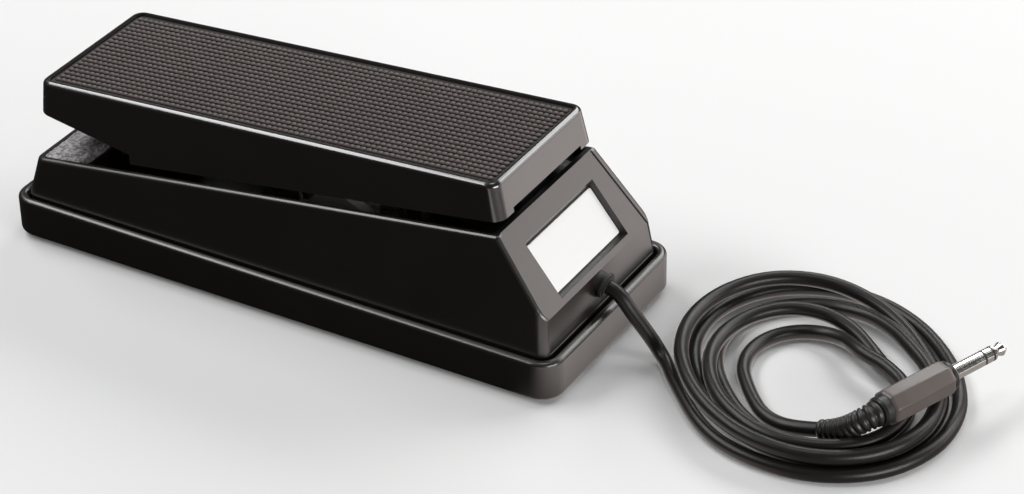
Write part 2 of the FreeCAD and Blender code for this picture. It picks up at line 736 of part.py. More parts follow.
def pivot_shaft():
    bar = rod("shaft_bar", "sizes.shaft_radius", "2 * sizes.shaft_half_length",
              along_y(PIVOT.x, -size("shaft_half_length"), PIVOT.z))
    grooves = []
    for side in (-1, 1):
        start = side * (EAR_OUTER_SIDE + size("running_gap") + size("clip_thickness") / 2)
        start -= size("clip_thickness") / 2 + size("clip_play")
        washer = rod("groove_ring_%d" % side, "2 * sizes.shaft_radius",
                     "sizes.clip_thickness + 2 * sizes.clip_play",
                     along_y(PIVOT.x, start, PIVOT.z))
        core = rod("groove_core_%d" % side, "sizes.shaft_radius - sizes.clip_groove_depth",
                   "sizes.clip_thickness + 2 * sizes.clip_play",
                   along_y(PIVOT.x, start, PIVOT.z))
        grooves.append(cut("groove_%d" % side, washer, [core]))
    return cut("pivot_shaft", bar, grooves)


def shaft_clips():
    clips = []
    clip_radius = "(sizes.shaft_radius + sizes.clip_reach)"
    for side in (-1, 1):
        middle = side * (EAR_OUTER_SIDE + size("running_gap") + size("clip_thickness") / 2)
        start = middle - size("clip_thickness") / 2
        disc = rod("clip_disc_%d" % side, clip_radius, "sizes.clip_thickness",
                   along_y(PIVOT.x, start, PIVOT.z))
        hole = rod("clip_hole_%d" % side, "sizes.shaft_radius - sizes.clip_groove_depth"
                   " + sizes.fit_clearance", "3 * sizes.clip_thickness",
                   along_y(PIVOT.x, start - size("clip_thickness"), PIVOT.z))
        mouth = box("clip_mouth_%d" % side, "sizes.pivot_reach - sizes.clip_mouth / 2",
                    "%.3f" % (start - BEYOND), "sizes.pivot_height - 2 * " + clip_radius,
                    "sizes.clip_mouth", "sizes.clip_thickness + 2 * sizes.overrun",
                    "2 * " + clip_radius)
        clips.append(cut("clip_%d" % side, disc, [hole, mouth]))
    return group("shaft_clips", clips)


def group(name, items):
    item = doc.addObject("Part::Compound", name)
    item.Links = items
    return item


# Cap screws, all alike but for their length: the head sits on z and the shank runs down or up
def screw(name, x, y, z, length, upward=False):
    turn = Rotation() if upward else Rotation(Vector(1, 0, 0), 180)
    shank = rod(name + "_shank", "sizes.screw_radius", "%.2f" % length,
                Placement(Vector(x, y, z), turn))
    head = rod(name + "_head", "sizes.screw_head_radius", "sizes.screw_head_height",
               Placement(Vector(x, y, z - (size("screw_head_height") if upward else 0)),
                         Rotation()))
    top = z - size("screw_head_height") if upward else z + size("screw_head_height")
    slot = doc.addObject("Part::Prism", name + "_socket")
    slot.Polygon = 6
    bind(slot, Circumradius="sizes.socket_radius", Height="2 * sizes.socket_depth")
    slot.Placement = upright(x, y, top - size("socket_depth"))
    return cut(name, fused(name + "_blank", [shank, head]), [slot])


def bracket_screws():
    places = bracket_screw_places()
    top = SEAT + size("bracket_sheet")
    pivot_set = [screw("bracket_screw_%d" % i, x, y, top, size("short_screw"))
                 for i, (x, y, _) in enumerate(places[:4])]
    pot_set = [screw("pot_screw_%d" % i, x, y, top, size("short_screw"))
               for i, (x, y, _) in enumerate(places[4:])]
    return group("pivot_bracket_screws", pivot_set), group("pot_bracket_screws", pot_set)


def housing_screws():
    return group("housing_screws",
                 [screw("housing_screw_%d" % i, x, y, FLOOR, size("long_screw"), upward=True)
                  for i, (x, y) in enumerate(post_places())])


def rubber_feet():
    inset = size("foot_inset")
    feet = []
    for i in (-1, 1):
        for j in (-1, 1):
            x = i * (size("tray_length") / 2 - inset)
            y = j * (size("tray_width") / 2 - inset)
            feet.append(rod("foot_%d_%d" % (i + 2, j + 2), "sizes.foot_radius",
                            "sizes.foot_height", upright(x, y, 0)))
    return group("rubber_feet", feet)


# Treadle, drawn level in its own frame with the pivot at the origin. Its faces lean outwards
# towards the floor, as a moulding's must to leave the mould
def treadle_taper(name, inset, z1, corner):
    def extents(level):
        fall = "(sizes.treadle_top - (%s))" % level
        ends = "sizes.end_draft * %s - (%s)" % (fall, inset)
        return ("%s - (%s)" % (TREADLE_HEEL, ends), "%s + (%s)" % (TREADLE_TOE, ends),
                "(%s + sizes.side_draft * %s - (%s))" % (TREADLE_HALF_WIDTH, fall, inset))
    return corner_taper(name, extents("0"), extents(z1), "0", z1, corner)


def treadle_shell():
    half = TREADLE_HALF_WIDTH
    # The outline's ends lie beyond the leaning faces
    lines = [
        (TREADLE_HEEL + " - sizes.outline_spread", "sizes.heel_skirt_bottom"),
        ("sizes.step_reach", "sizes.step_top"),
        ("sizes.step_reach", "sizes.step_bottom"),
        (TREADLE_TOE + " + sizes.outline_spread", "sizes.toe_skirt_bottom"),
        (TREADLE_TOE + " + sizes.outline_spread", "sizes.treadle_top"),
        (TREADLE_HEEL + " - sizes.outline_spread", "sizes.treadle_top"),
    ]
    block = common("treadle_block", [
        treadle_taper("treadle_form", "0", "sizes.treadle_top", "sizes.treadle_corner"),
        prism("treadle_side", lines, "sizes.tray_width"),
    ])
    top = size("treadle_top")
    soft = rounded("treadle_soft", block, size("treadle_round"), lambda e: lies_at(e, top))
    recess = corner_block("mat_bed", TREADLE_HEEL + " + sizes.mat_inset",
                          TREADLE_TOE + " - sizes.mat_inset", half + " - sizes.mat_inset",
                          "sizes.treadle_top - sizes.mat_recess",
                          "sizes.mat_recess + sizes.overrun",
                          "sizes.treadle_corner - sizes.mat_inset")
    deck_bottom = "sizes.treadle_top - sizes.mat_recess - sizes.deck_thickness"
    hollow = treadle_taper("treadle_hollow", "sizes.treadle_wall", deck_bottom,
                           "sizes.treadle_corner - sizes.treadle_wall")
    notch = centred_box("toe_notch", TREADLE_TOE + " - 2 * sizes.treadle_wall",
                        "sizes.toe_skirt_bottom - sizes.overrun", "4 * sizes.treadle_wall",
                        "sizes.notch_half_width", "sizes.notch_height + sizes.overrun")
    shell = cut("treadle_skin", soft, [recess, hollow, notch])
    lugs = []
    for name, start in (("lug_near", "-sizes.lug_inner - sizes.lug_thickness"),
                        ("lug_far", "sizes.lug_inner")):
        lugs.append(box(name, "-sizes.lug_half_length", start, "-sizes.lug_drop",
                        "2 * sizes.lug_half_length", "sizes.lug_thickness",
                        "sizes.lug_drop + %s + sizes.fuse_depth" % deck_bottom))
    stop = centred_box("stop_rib", "%.3f - sizes.stop_half_length" % stop_reach(),
                       "%.3f" % stop_bottom(), "2 * sizes.stop_half_length",
                       "sizes.bumper_half_width - sizes.stop_margin",
                       "%s + sizes.fuse_depth - %.3f" % (deck_bottom, stop_bottom()))
    solid = fused("treadle_solid", [shell, stop] + lugs)
    bores = [rod("lug_bore", "sizes.shaft_radius + 2 * sizes.fit_clearance + sizes.bush_wall",
                 "4 * sizes.lug_inner", along_y(0, -2 * size("lug_inner"), 0))]
    for i, (x, z) in enumerate(sector_screw_places()):
        bores.append(rod("sector_screw_bore_%d" % i,
                         "sizes.screw_radius + sizes.fit_clearance",
                         "sizes.lug_thickness + 2 * sizes.overrun",
                         along_y(x, -size("lug_inner") - size("lug_thickness") - BEYOND, z)))
    item = cut("treadle_shell", solid, bores)
    item.Placement = TREADLE
    return item


def stop_contact():
    # Middle of the bumper and the rib's bottom over it at rest, seen from the pivot
    middle = CREST_X - size("toe_shelf_setback") - size("toe_shelf_length") / 2
    top = size("crest_height") - size("toe_shelf_drop") + size("bumper_height")
    return middle - PIVOT.x, top + size("running_gap") - PIVOT.z


def stop_reach():
    reach, rise = stop_contact()
    tilt = math.radians(size("rest_tilt"))
    return reach * math.cos(tilt) + rise * math.sin(tilt)


def stop_bottom():
    # Height in the treadle's frame that leaves the running gap over the bumper at rest
    tilt = math.radians(size("rest_tilt"))
    edge = stop_reach() - size("stop_half_length")
    return (stop_contact()[1] - edge * math.sin(tilt)) / math.cos(tilt)


def sector_screw_places():
    reach = size("sector_screw_reach")
    return [(x, size("sector_screw_rise")) for x in (-reach, reach)]


def tread_mat():
    body = new_body("tread_mat")
    gap = "sizes.mat_inset + sizes.mat_gap"
    length = "(%s - %s - 2 * (%s))" % (TREADLE_TOE, TREADLE_HEEL, gap)
    width = "(2 * (%s - (%s)))" % (TREADLE_HALF_WIDTH, gap)
    sheet_block = body.newObject("PartDesign::AdditiveBox", "mat_sheet")
    bind(sheet_block, Length=length, Width=width, Height="sizes.mat_base")
    corners = body_fillet(body, "mat_corners", sheet_block,
                          "sizes.treadle_corner - sizes.mat_inset", lambda e: runs_along(e, "z"))
    doc.recompute()
    rib_end = length + " - sizes.mat_rib_end"
    rib_side = "sizes.mat_margin + sizes.mat_rib_width"
    rib = outline("mat_rib_outline", [
        ("sizes.mat_rib_end", "sizes.mat_margin"),
        (rib_end, "sizes.mat_margin"),
        (rib_end, rib_side),
        ("sizes.mat_rib_end", rib_side),
    ], body, "XY_Plane")
    rib.setExpression("AttachmentOffset.Base.z", "sizes.mat_base")
    rib_pad = pad(body, "mat_rib", rib, "sizes.mat_rib_height")
    doc.recompute()
    row = body.newObject("PartDesign::LinearPattern", "mat_ribs")
    row.Originals = [rib_pad]
    row.Direction = (rib, ["V_Axis"])
    row.setExpression("Length", width + " - 2 * sizes.mat_margin - sizes.mat_rib_width")
    row.setExpression("Occurrences", "sizes.mat_rib_count")
    body.Tip = row
    set_in = size("mat_inset") + size("mat_gap")
    corner = Vector(TREADLE_HEEL_X + set_in, -TREADLE_HALF + set_in,
                    size("treadle_top") - size("mat_recess"))
    body.Placement = TREADLE.multiply(Placement(corner, Rotation()))
    return body


def pivot_bushings():
    bushes = []
    for side in (-1, 1):
        inner = size("lug_inner") if side > 0 else -size("lug_inner") - size("lug_thickness")
        flange = (size("lug_inner") + size("lug_thickness") if side > 0
                  else -size("lug_inner") - size("lug_thickness") - size("bush_flange"))
        sleeve = rod("bush_sleeve_%d" % side, "sizes.shaft_radius + sizes.fit_clearance"
                     " + sizes.bush_wall", "sizes.lug_thickness",
                     along_y(PIVOT.x, inner, PIVOT.z))
        collar = rod("bush_collar_%d" % side, "sizes.shaft_radius + sizes.fit_clearance"
                     " + sizes.bush_wall + sizes.bush_flange_width", "sizes.bush_flange",
                     along_y(PIVOT.x, flange, PIVOT.z))
        bore = rod("bush_bore_%d" % side, "sizes.shaft_radius + sizes.fit_clearance",
                   "3 * sizes.lug_thickness",
                   along_y(PIVOT.x, inner - size("lug_thickness"), PIVOT.z))
        bushes.append(cut("bush_%d" % side, fused("bush_blank_%d" % side, [sleeve, collar]),
                          [bore]))
    return group("pivot_bushings", bushes)


# Involute gear outlines, in the XZ plane about the origin
PRESSURE = math.radians(size("pressure_angle"))


def tooth_flank(pitch, root, outer, half_angle, steps=4):
    # From the base circle, or from the root where that lies outside it, to the tip
    base = pitch * math.cos(PRESSURE)
    involute = math.tan(PRESSURE) - PRESSURE
    start = max(base, root)
    points = []
    for i in range(steps + 1):
        radius = start + (outer - start) * i / steps
        angle = math.acos(min(1.0, base / radius))
        points.append((radius, half_angle + involute - (math.tan(angle) - angle)))
    return points


def gear_outline(pitch, teeth, outer, root, first=None, last=None, phase=0.0):
    half = math.pi / (2 * teeth) - size("gear_backlash") / (2 * pitch)
    step = 2 * math.pi / teeth
    indices = range(int(teeth)) if first is None else range(first, last + 1)
    points = []
    for i in indices:
        centre = phase + i * step
        flank = tooth_flank(pitch, root, outer, half)
        rise = [(root, flank[0][1])] if root < flank[0][0] else []
        left = rise + flank
        points += [(r, centre - a) for r, a in left]
        points += [(r, centre + a) for r, a in reversed(left)]
    return points


def plate(points, y, thickness):
    polygon = [Vector(r * math.cos(a), y, r * math.sin(a)) for r, a in points]
    face = Part.Face(Part.makePolygon(polygon + [polygon[0]]))
    return face.extrude(Vector(0, thickness, 0))


def bore_along_y(radius, x, side, z):
    # A cutting rod through a gear whose near face is at y = side
    return Part.makeCylinder(radius, size("gear_face") + 2 * BEYOND, Vector(x, side - BEYOND, z),
                             Vector(0, 1, 0))


def direct(name, shape, placement=None):
    item = doc.addObject("Part::Feature", name)
    item.Shape = shape
    if placement is not None:
        item.Placement = placement
    return item


# Corners of the sector's arm round the bush: reach beyond the bush and angle, heel side last
ARM = [(9.0, -62), (4.5, -100), (4.5, -150), (10.0, 130), (10.0, 50), (9.0, 0)]


def sector_gear():
    module = size("gear_module")
    step = 360.0 / size("sector_teeth")
    tilt = size("rest_tilt")
    # Angles are taken in the pedal's frame at rest; the treadle's frame is tilted by rest_tilt
    phase = math.radians(size("mesh_angle") - tilt)
    first = -int((size("mesh_angle") - size("sector_first")) / step)
    last = int((size("sector_last") - size("mesh_angle")) / step)
    teeth = gear_outline(SECTOR_PITCH, size("sector_teeth"),
                         SECTOR_PITCH + size("sector_addendum") * module,
                         SECTOR_PITCH - size("sector_dedendum") * module, first, last, phase)
    side = -size("lug_inner")
    arm = [(BUSH_RADIUS + reach, math.radians(angle)) for reach, angle in reversed(ARM)]
    gear = plate(arm + teeth, side, size("gear_face"))
    tools = [bore_along_y(BUSH_RADIUS + size("bush_room"), 0, side, 0)]
    for x, z in sector_screw_places():
        tools.append(bore_along_y(SCREW_FIT, x, side, z))
    return direct("sector_gear", gear.cut(tools), TREADLE)


def sector_screws():
    screws = []
    start = -size("lug_inner") - size("lug_thickness")
    recess = size("screw_recess")
    for x, z in sector_screw_places():
        shank = Part.makeCylinder(size("screw_radius"),
                                  size("lug_thickness") + size("gear_face") - recess,
                                  Vector(x, start + recess, z), Vector(0, 1, 0))
        head = Part.makeCylinder(size("screw_head_radius"), size("screw_head_height"),
                                 Vector(x, -size("lug_inner") + size("gear_face"), z),
                                 Vector(0, 1, 0))
        screws.append(shank.fuse(head))
    return direct("sector_screws", Part.makeCompound(screws), TREADLE)


def pinion_gear():
    module = size("gear_module")
    # A gap between two teeth faces the sector's tooth on the line of centres
    phase = MESH + math.pi + math.pi / size("pinion_teeth")
    teeth = gear_outline(PINION_PITCH, size("pinion_teeth"),
                         PINION_PITCH + size("pinion_addendum") * module,
                         PINION_PITCH - size("pinion_dedendum") * module, phase=phase)
    side = -size("lug_inner")
    gear = plate(teeth, side, size("gear_face"))
    bore = bore_along_y(size("pot_shaft_radius") + size("press_clearance"), 0, side, 0)
    return direct("pinion_gear", gear.cut(bore), upright(POT_X, 0, POT_Z))


# Potentiometer on its own angle bracket, its shaft pointing at the sector gear
def pot_bracket():
    half = "sizes.pot_plate_half"
    x = "%.3f - %s" % (POT_X, half)
    upright_sheet = box("pot_upright", x, "-sizes.bracket_sheet / 2", SEAT_TOP, "2 * " + half,
                        "sizes.bracket_sheet",
                        "%.3f + %s - (%s)" % (POT_Z, half, SEAT_TOP))
    flange = box("pot_flange", x, "-sizes.bracket_sheet / 2", SEAT_TOP, "2 * " + half,
                 "sizes.pot_flange_depth", "sizes.bracket_sheet")
    holes = [rod("pot_hole", "sizes.pot_thread_radius + sizes.fit_clearance",
                 "sizes.bracket_sheet + 2 * sizes.overrun",
                 along_y(POT_X, -POT_FACE - BEYOND, POT_Z))]
    for i, (x, y, z) in enumerate(bracket_screw_places()[4:]):
        holes.append(rod("pot_flange_hole_%d" % i,
                         "sizes.screw_radius + 2 * sizes.fit_clearance",
                         "sizes.bracket_sheet + 2 * sizes.overrun", upright(x, y, z - BEYOND)))
    return cut("pot_bracket", fused("pot_bracket_solid", [upright_sheet, flange]), holes)


def potentiometer_body():
    can = rod("pot_can", "sizes.pot_radius", "sizes.pot_depth", along_y(POT_X, POT_FACE, POT_Z))
    doc.recompute()
    soft = rounded("pot_can_soft", can, size("pot_round"),
                   lambda e: e.Curve.TypeId == "Part::GeomCircle"
                   and e.Vertexes[0].Y > POT_FACE + BEYOND)
    thread = rod("pot_thread", "sizes.pot_thread_radius", "sizes.pot_thread_length",
                 along_y(POT_X, POT_FACE - size("pot_thread_length"), POT_Z))
    bore = rod("pot_bore", "sizes.pot_shaft_radius + sizes.fit_clearance",
               "sizes.pot_thread_length + sizes.pot_shaft_seat + 2 * sizes.overrun",
               along_y(POT_X, POT_FACE - size("pot_thread_length") - BEYOND, POT_Z))
    return cut("potentiometer_body", fused("pot_solid", [soft, thread]), [bore])


def pot_shaft():
    tail = POT_FACE + size("pot_shaft_seat")
    front = -size("lug_inner") - size("pot_shaft_end")
    radius = size("pot_shaft_radius")
    bar = Part.makeCylinder(radius, tail - front, Vector(0, front, 0), Vector(0, 1, 0))
    slot = Part.makeBox(4 * radius, size("pot_slot_depth"), size("pot_slot_width"),
                        Vector(-2 * radius, front, -size("pot_slot_width") / 2))
    return direct("pot_shaft", bar.cut(slot), upright(POT_X, 0, POT_Z))


def pot_washer():
    front = -POT_FACE - size("pot_washer")
    ring = rod("pot_washer_disc", "sizes.pot_nut_radius + sizes.pot_washer_margin",
               "sizes.pot_washer", along_y(POT_X, front, POT_Z))
    hole = rod("pot_washer_hole", "sizes.pot_thread_radius + sizes.fit_clearance",
               "sizes.pot_washer + 2 * sizes.overrun", along_y(POT_X, front - BEYOND, POT_Z))
    return cut("pot_washer_ring", ring, [hole])


def pot_nut():
    front = -POT_FACE - size("pot_washer") - size("pot_nut_height")
    blank = doc.addObject("Part::Prism", "pot_nut_blank")
    blank.Polygon = 6
    bind(blank, Circumradius="sizes.pot_nut_radius", Height="sizes.pot_nut_height")
    blank.Placement = along_y(POT_X, front, POT_Z)
    hole = rod("pot_nut_hole", "sizes.pot_thread_radius + sizes.fit_clearance",
               "sizes.pot_nut_height + 2 * sizes.overrun",
               along_y(POT_X, front - BEYOND, POT_Z))
    return cut("pot_nut", blank, [hole])


def pot_terminals():
    tabs = []
    for i in (-1, 0, 1):
        tab = box("terminal_%d" % (i + 2),
                  "%.3f + %d * sizes.tab_pitch - sizes.tab_width / 2" % (POT_X, i),
                  "%.3f" % terminal_side(), "%.3f" % (POT_Z + terminal_seat(i)),
                  "sizes.tab_width", "sizes.tab_thickness",
                  "%.3f" % (terminal_top() - POT_Z - terminal_seat(i)))
        tabs.append(tab)
    return group("pot_terminals", tabs)


def terminal_side():
    return POT_FACE + size("tab_side")


def terminal_seat(i):
    # Height of the can's round top above its axis, at the edge of the tab where it is highest
    near = max(0.0, abs(i) * size("tab_pitch") - size("tab_width") / 2)
    return math.sqrt(size("pot_radius") ** 2 - near ** 2) + size("fit_clearance")


def terminal_top():
    return POT_Z + size("pot_radius") + size("tab_height")


# Routes of straight runs joined by tangent arcs
def bent_path(points, name):
    radii = []
    edges = []
    last = points[0]
    for i in range(1, len(points) - 1):
        before = points[i] - points[i - 1]
        after = points[i + 1] - points[i]
        turn = before.getAngle(after)
        run = min(before.Length, after.Length)
        radius = 0.45 * run / math.tan(turn / 2)
        radii.append(radius)
        back = points[i] - before.normalize() * (0.45 * run)
        ahead = points[i] + after.normalize() * (0.45 * run)
        toward = (after - before).normalize()
        middle = points[i] + toward * (radius / math.cos(turn / 2) - radius)
        edges.append(Part.LineSegment(last, back).toShape())
        edges.append(Part.Arc(back, middle, ahead).toShape())
        last = ahead
    edges.append(Part.LineSegment(last, points[-1]).toShape())
    wire = Part.Wire(edges)
    print("%s: length %.1f, radii %s" % (name, wire.Length, [round(r, 1) for r in radii]))
    return wire


def tube(wire, start, direction, radius):
    ring = Part.Wire([Part.Circle(start, direction, radius).toShape()])
    solid = wire.makePipeShell([ring], True, False)
    expected = math.pi * radius ** 2 * wire.Length
    print("   volume against section by length: %.4f" % (solid.Volume / expected))
    return solid


def exit_direction():
    tilt = math.radians(size("exit_tilt"))
    return Vector(math.cos(tilt), 0, -math.sin(tilt))


def exit_point():
    return Vector(TRAY_HALF - size("exit_inset"), 0, size("exit_height"))


def exit_placement(distance):
    return along(exit_point() + exit_direction() * distance, exit_direction())


def inner_cord():
    bend = exit_point() - exit_direction() * size("inner_run")
    points = [Vector(INNER_END, 0, bend.z), bend, exit_point()]
    wire = bent_path(points, "inner_cord")
    return direct("inner_cord", tube(wire, points[0], Vector(1, 0, 0), CORD_RADIUS))


# Bends of the leads over the pot: past its axis, aside, and above the crown
LEAD_BENDS = [(24.0, 6.0, 0.5), (48.0, 3.0, -9.0)]


def inner_leads():
    radius = size("lead_radius")
    leads = []
    for i in (-1, 0, 1):
        aside = i * size("lead_spacing")
        crown = size("lead_crown") - aside
        start = Vector(POT_X + i * size("tab_pitch"), terminal_side() + size("tab_thickness") + radius,
                       terminal_top() - size("lead_solder"))
        end = Vector(INNER_END - size("press_clearance"), -i * size("lead_end_side"), inner_height())
        points = [start, Vector(start.x, start.y, crown)]
        points += [Vector(POT_X + reach, side - aside, crown + rise)
                   for reach, side, rise in LEAD_BENDS]
        points += [end - Vector(size("lead_straight"), 0, 0), end]
        wire = bent_path(points, "lead_%d" % (i + 2))
        leads.append(tube(wire, points[0], Vector(0, 0, 1), radius))
    return direct("inner_leads", Part.makeCompound(leads))


def cord_grommet():
    neck = rod("grommet_neck", "sizes.cord_diameter / 2 + sizes.grommet_wall",
               "sizes.grommet_length", exit_placement(-size("grommet_length")))
    flange_radius = "sizes.cord_diameter / 2 + sizes.grommet_wall + sizes.grommet_lip"
    collar = rod("grommet_collar", flange_radius, "sizes.grommet_flange",
                 exit_placement(-size("grommet_setback") - size("grommet_flange")))
    bore = rod("grommet_bore", "sizes.cord_diameter / 2 + sizes.fit_clearance",
               "3 * sizes.grommet_length", exit_placement(-2 * size("grommet_length")))
    return cut("cord_grommet", fused("grommet_solid", [neck, collar]), [bore])


def cable_clamp():
    z = inner_height() - CORD_RADIUS
    x = CLAMP_REACH + " - sizes.clamp_half_length"
    top_height = "sizes.cord_diameter + sizes.clamp_wall"
    bar = centred_box("clamp_bar", x, "%.3f" % z, "2 * sizes.clamp_half_length",
                      CLAMP_HALF_WIDTH, "sizes.clamp_wall")
    crown = centred_box("clamp_crown", x, "%.3f" % z, "2 * sizes.clamp_half_length",
                        "sizes.cord_diameter / 2 + sizes.clamp_wall", top_height)
    blank = fused("clamp_blank", [bar, crown])
    channel = Placement(Vector(CLAMP_X - 2 * size("clamp_half_length"), 0, inner_height()),
                        Rotation(Vector(0, 1, 0), 90))
    tools = [
        rod("clamp_channel", "sizes.cord_diameter / 2 + sizes.fit_clearance",
            "4 * sizes.clamp_half_length", channel),
        centred_box("clamp_mouth", CLAMP_REACH + " - 2 * sizes.clamp_half_length",
                    "%.3f" % (z - BEYOND), "4 * sizes.clamp_half_length",
                    "sizes.cord_diameter / 2 + sizes.fit_clearance",
                    "%.3f" % (CORD_RADIUS + BEYOND)),
    ]
    for i, (px, py, pz) in enumerate(clamp_screw_places()):
        tools.append(rod("clamp_hole_%d" % i, "sizes.screw_radius + sizes.fit_clearance",
                         "sizes.clamp_wall + 2 * sizes.overrun", upright(px, py, pz - BEYOND)))
    return cut("cable_clamp", blank, tools)


def clamp_screws():
    return group("cable_clamp_screws",
                 [screw("clamp_screw_%d" % i, x, y, z + size("clamp_wall"), size("short_screw"))
                  for i, (x, y, z) in enumerate(clamp_screw_places())])


# Free stretch of the cord, from the grommet down to the coil
CORD_ROUTE = [
    Vector(132.0, 0.0, 28.0),
    Vector(136.83, 0.0, 26.706),
    Vector(142.1, 0.05, 19.75),
    Vector(148.2, 0.2, 13.1),
]


def cord():
    wire = bent_path(CORD_ROUTE, "cord")
    heading = CORD_ROUTE[1] - CORD_ROUTE[0]
    return direct("cord", tube(wire, CORD_ROUTE[0], heading, CORD_RADIUS))


# Coil: five turns, each with its reach towards four sides of the coil's middle.
# Layer 0 lies on the floor and layer 1 on top of it.
TURNS = [
    ((68.1, 0), (52.4, 0), (64.0, 0), (47.3, 0)),
    ((60.8, 0), (44.8, 0), (59.8, 1.3), (55.2, 1.4)),
    ((65.5, 1), (37.6, 1), (50.5, 0), (39.6, 0)),
    ((52.7, 0), (26.0, 0), (39.5, 1), (45.6, 1)),
    ((57.6, 1), (18.0, 1), (31.5, 0), (30.0, 0)),
]
FIRST_SIDE = -45
LANDING = Vector(163.0, -6.0, 3.1)
LANDING_HEADING = Vector(0.60, -0.80, 0)
LEAD_IN = (-113.0, 60.5, 0)
TAIL_POINT = Vector(237.2, -20.8, 7.0)
TAIL_HEADING = Vector(0.97, 0.13, 0.2)


def coil_point(angle, reach, layer):
    turned = math.radians(angle)
    return Vector(size("coil_reach") + reach * math.cos(turned),
                  size("coil_side") + reach * math.sin(turned),
                  CORD_RADIUS + layer * (size("cord_diameter") + size("coil_layer_gap")))


def coil_nodes():
    polar = [LEAD_IN]
    for turn in TURNS:
        for side, (reach, layer) in enumerate(turn):
            polar.append((FIRST_SIDE + 90 * side, reach, layer))
    points = [coil_point(*node) for node in polar]
    headings = []
    for i, (angle, reach, layer) in enumerate(polar):
        before = polar[max(i - 1, 0)][1]
        after = polar[min(i + 1, len(polar) - 1)][1]
        turned = math.radians(angle)
        outward = Vector(math.cos(turned), math.sin(turned), 0)
        onward = Vector(-math.sin(turned), math.cos(turned), 0)
        headings.append((onward * reach + outward * ((after - before) / math.pi)).normalize())
    straight = size("cord_diameter")
    start_heading = (CORD_ROUTE[-1] - CORD_ROUTE[-2]).normalize()
    tail_heading = Vector(TAIL_HEADING).normalize()
    start = CORD_ROUTE[-1] + start_heading * straight
    tail = TAIL_POINT - tail_heading * straight
    return ([start, LANDING] + points + [tail],
            [start_heading, LANDING_HEADING] + headings + [tail_heading])


def biarc(p, t, q, u):
    # Two tangent arcs of equal reach from p heading t to q heading u
    v = q - p
    s = t + u
    a = s.dot(s) - 4
    b = -2 * v.dot(s)
    c = v.dot(v)
    d = (-b - math.sqrt(b * b - 4 * a * c)) / (2 * a)
    if d < 0:
        d = (-b + math.sqrt(b * b - 4 * a * c)) / (2 * a)
    inner = p + t * d
    outer = q - u * d
    joint = (inner + outer) * 0.5
    heading = (outer - inner).normalize()
    return [(p, Vector(t), joint), (joint, heading, q)]


def arc_edge(p, t, q):
    chord = q - p
    across = chord - t * chord.dot(t)
    radius = chord.dot(chord) / (2 * across.Length)
    turn = 2 * chord.getAngle(t)
    toward = across.normalize()
    middle = p + t * (radius * math.sin(turn / 2)) + toward * (radius * (1 - math.cos(turn / 2)))
    return Part.Arc(p, middle, q).toShape(), radius


def coil_path():
    points, headings = coil_nodes()
    edges = [Part.LineSegment(CORD_ROUTE[-1], points[0]).toShape()]
    radii = []
    for i in range(len(points) - 1):
        for p, t, q in biarc(points[i], headings[i], points[i + 1], headings[i + 1]):
            edge, radius = arc_edge(p, t, q)
            edges.append(edge)
            radii.append(radius)
    edges.append(Part.LineSegment(points[-1], TAIL_POINT).toShape())
    return Part.Wire(edges), radii


def least_gap(wire, step=2.0, skip=20.0):
    # Smallest distance between surfaces of stretches that are more than skip apart
    points = wire.discretize(Distance=step)
    least = 1000.0
    apart = int(skip / step) + 1
    for i in range(len(points)):
        for j in range(i + apart, len(points)):
            least = min(least, points[i].distanceToPoint(points[j]))
    return least - size("cord_diameter")


def cord_coil():
    wire, radii = coil_path()
    lowest = min(point.z for point in wire.discretize(Distance=1.0)) - CORD_RADIUS
    print("cord_coil: length %.1f, tightest radius %.1f, least gap to itself %.2f, lowest %.2f"
          % (wire.Length, min(radii), least_gap(wire), lowest))
    print("   radii %s" % [round(r, 1) for r in radii])
    heading = CORD_ROUTE[-1] - CORD_ROUTE[-2]
    return direct("cord_coil", tube(wire, CORD_ROUTE[-1], heading, CORD_RADIUS))


# Plug: a frame at the back of the handle with its X axis along the plug
def plug_frame():
    turned = math.radians(size("handle_heading"))
    axis = Vector(math.cos(turned), math.sin(turned), 0)
    side = Vector(-math.sin(turned), math.cos(turned), 0)
    origin = Vector(size("handle_reach"), size("handle_side"), size("handle_height"))
    return Placement(origin, Rotation(axis, side, Vector(0, 0, 1), "XZY"))


def plug_axis():
    return plug_frame().Rotation.multVec(Vector(1, 0, 0))


def plug_turned(name, profile):
    # Solid of revolution about the plug's axis, from (distance, radius) pairs
    points = [Vector(x, 0, r) for x, r in profile]
    face = Part.Face(Part.makePolygon(points + [points[0]]))
    return direct(name, face.revolve(Vector(0, 0, 0), Vector(1, 0, 0), 360), plug_frame())


def plug_handle():
    corner = size("handle_flat") / 2 / math.cos(math.pi / 8)
    angles = [math.pi / 8 + i * math.pi / 4 for i in range(8)]
    ring = [Vector(0, corner * math.cos(a), corner * math.sin(a)) for a in angles]
    solid = Part.Face(Part.makePolygon(ring + [ring[0]])).extrude(
        Vector(size("handle_length"), 0, 0))
    length = size("handle_length")
    slim = size("handle_flat") / 2 - size("handle_draw_in")
    profile = [(0, 0), (0, slim), (size("handle_back_taper"), corner + BEYOND),
               (length - size("handle_front_taper"), corner + BEYOND), (length, slim),
               (length, 0)]
    lathe = [Vector(x, 0, r) for x, r in profile]
    envelope = Part.Face(Part.makePolygon(lathe + [lathe[0]])).revolve(
        Vector(0, 0, 0), Vector(1, 0, 0), 360)
    return direct("plug_handle", solid.common(envelope), plug_frame())


def plug_collar():
    length = size("collar_length")
    radius = size("collar_radius")
    chamfer = size("collar_chamfer")
    return plug_turned("plug_collar", [(-length, 0), (-length, radius - chamfer),
                                       (-length + chamfer, radius), (0, radius), (0, 0)])


# Shape of the tip: shares of its length and of the shank's radius, from its back
TIP_SHAPE = [(0.0, 1.0), (0.10, 1.0), (0.32, 0.65), (0.39, 0.65), (0.65, 0.92), (0.89, 0.54),
             (1.0, 0.16)]


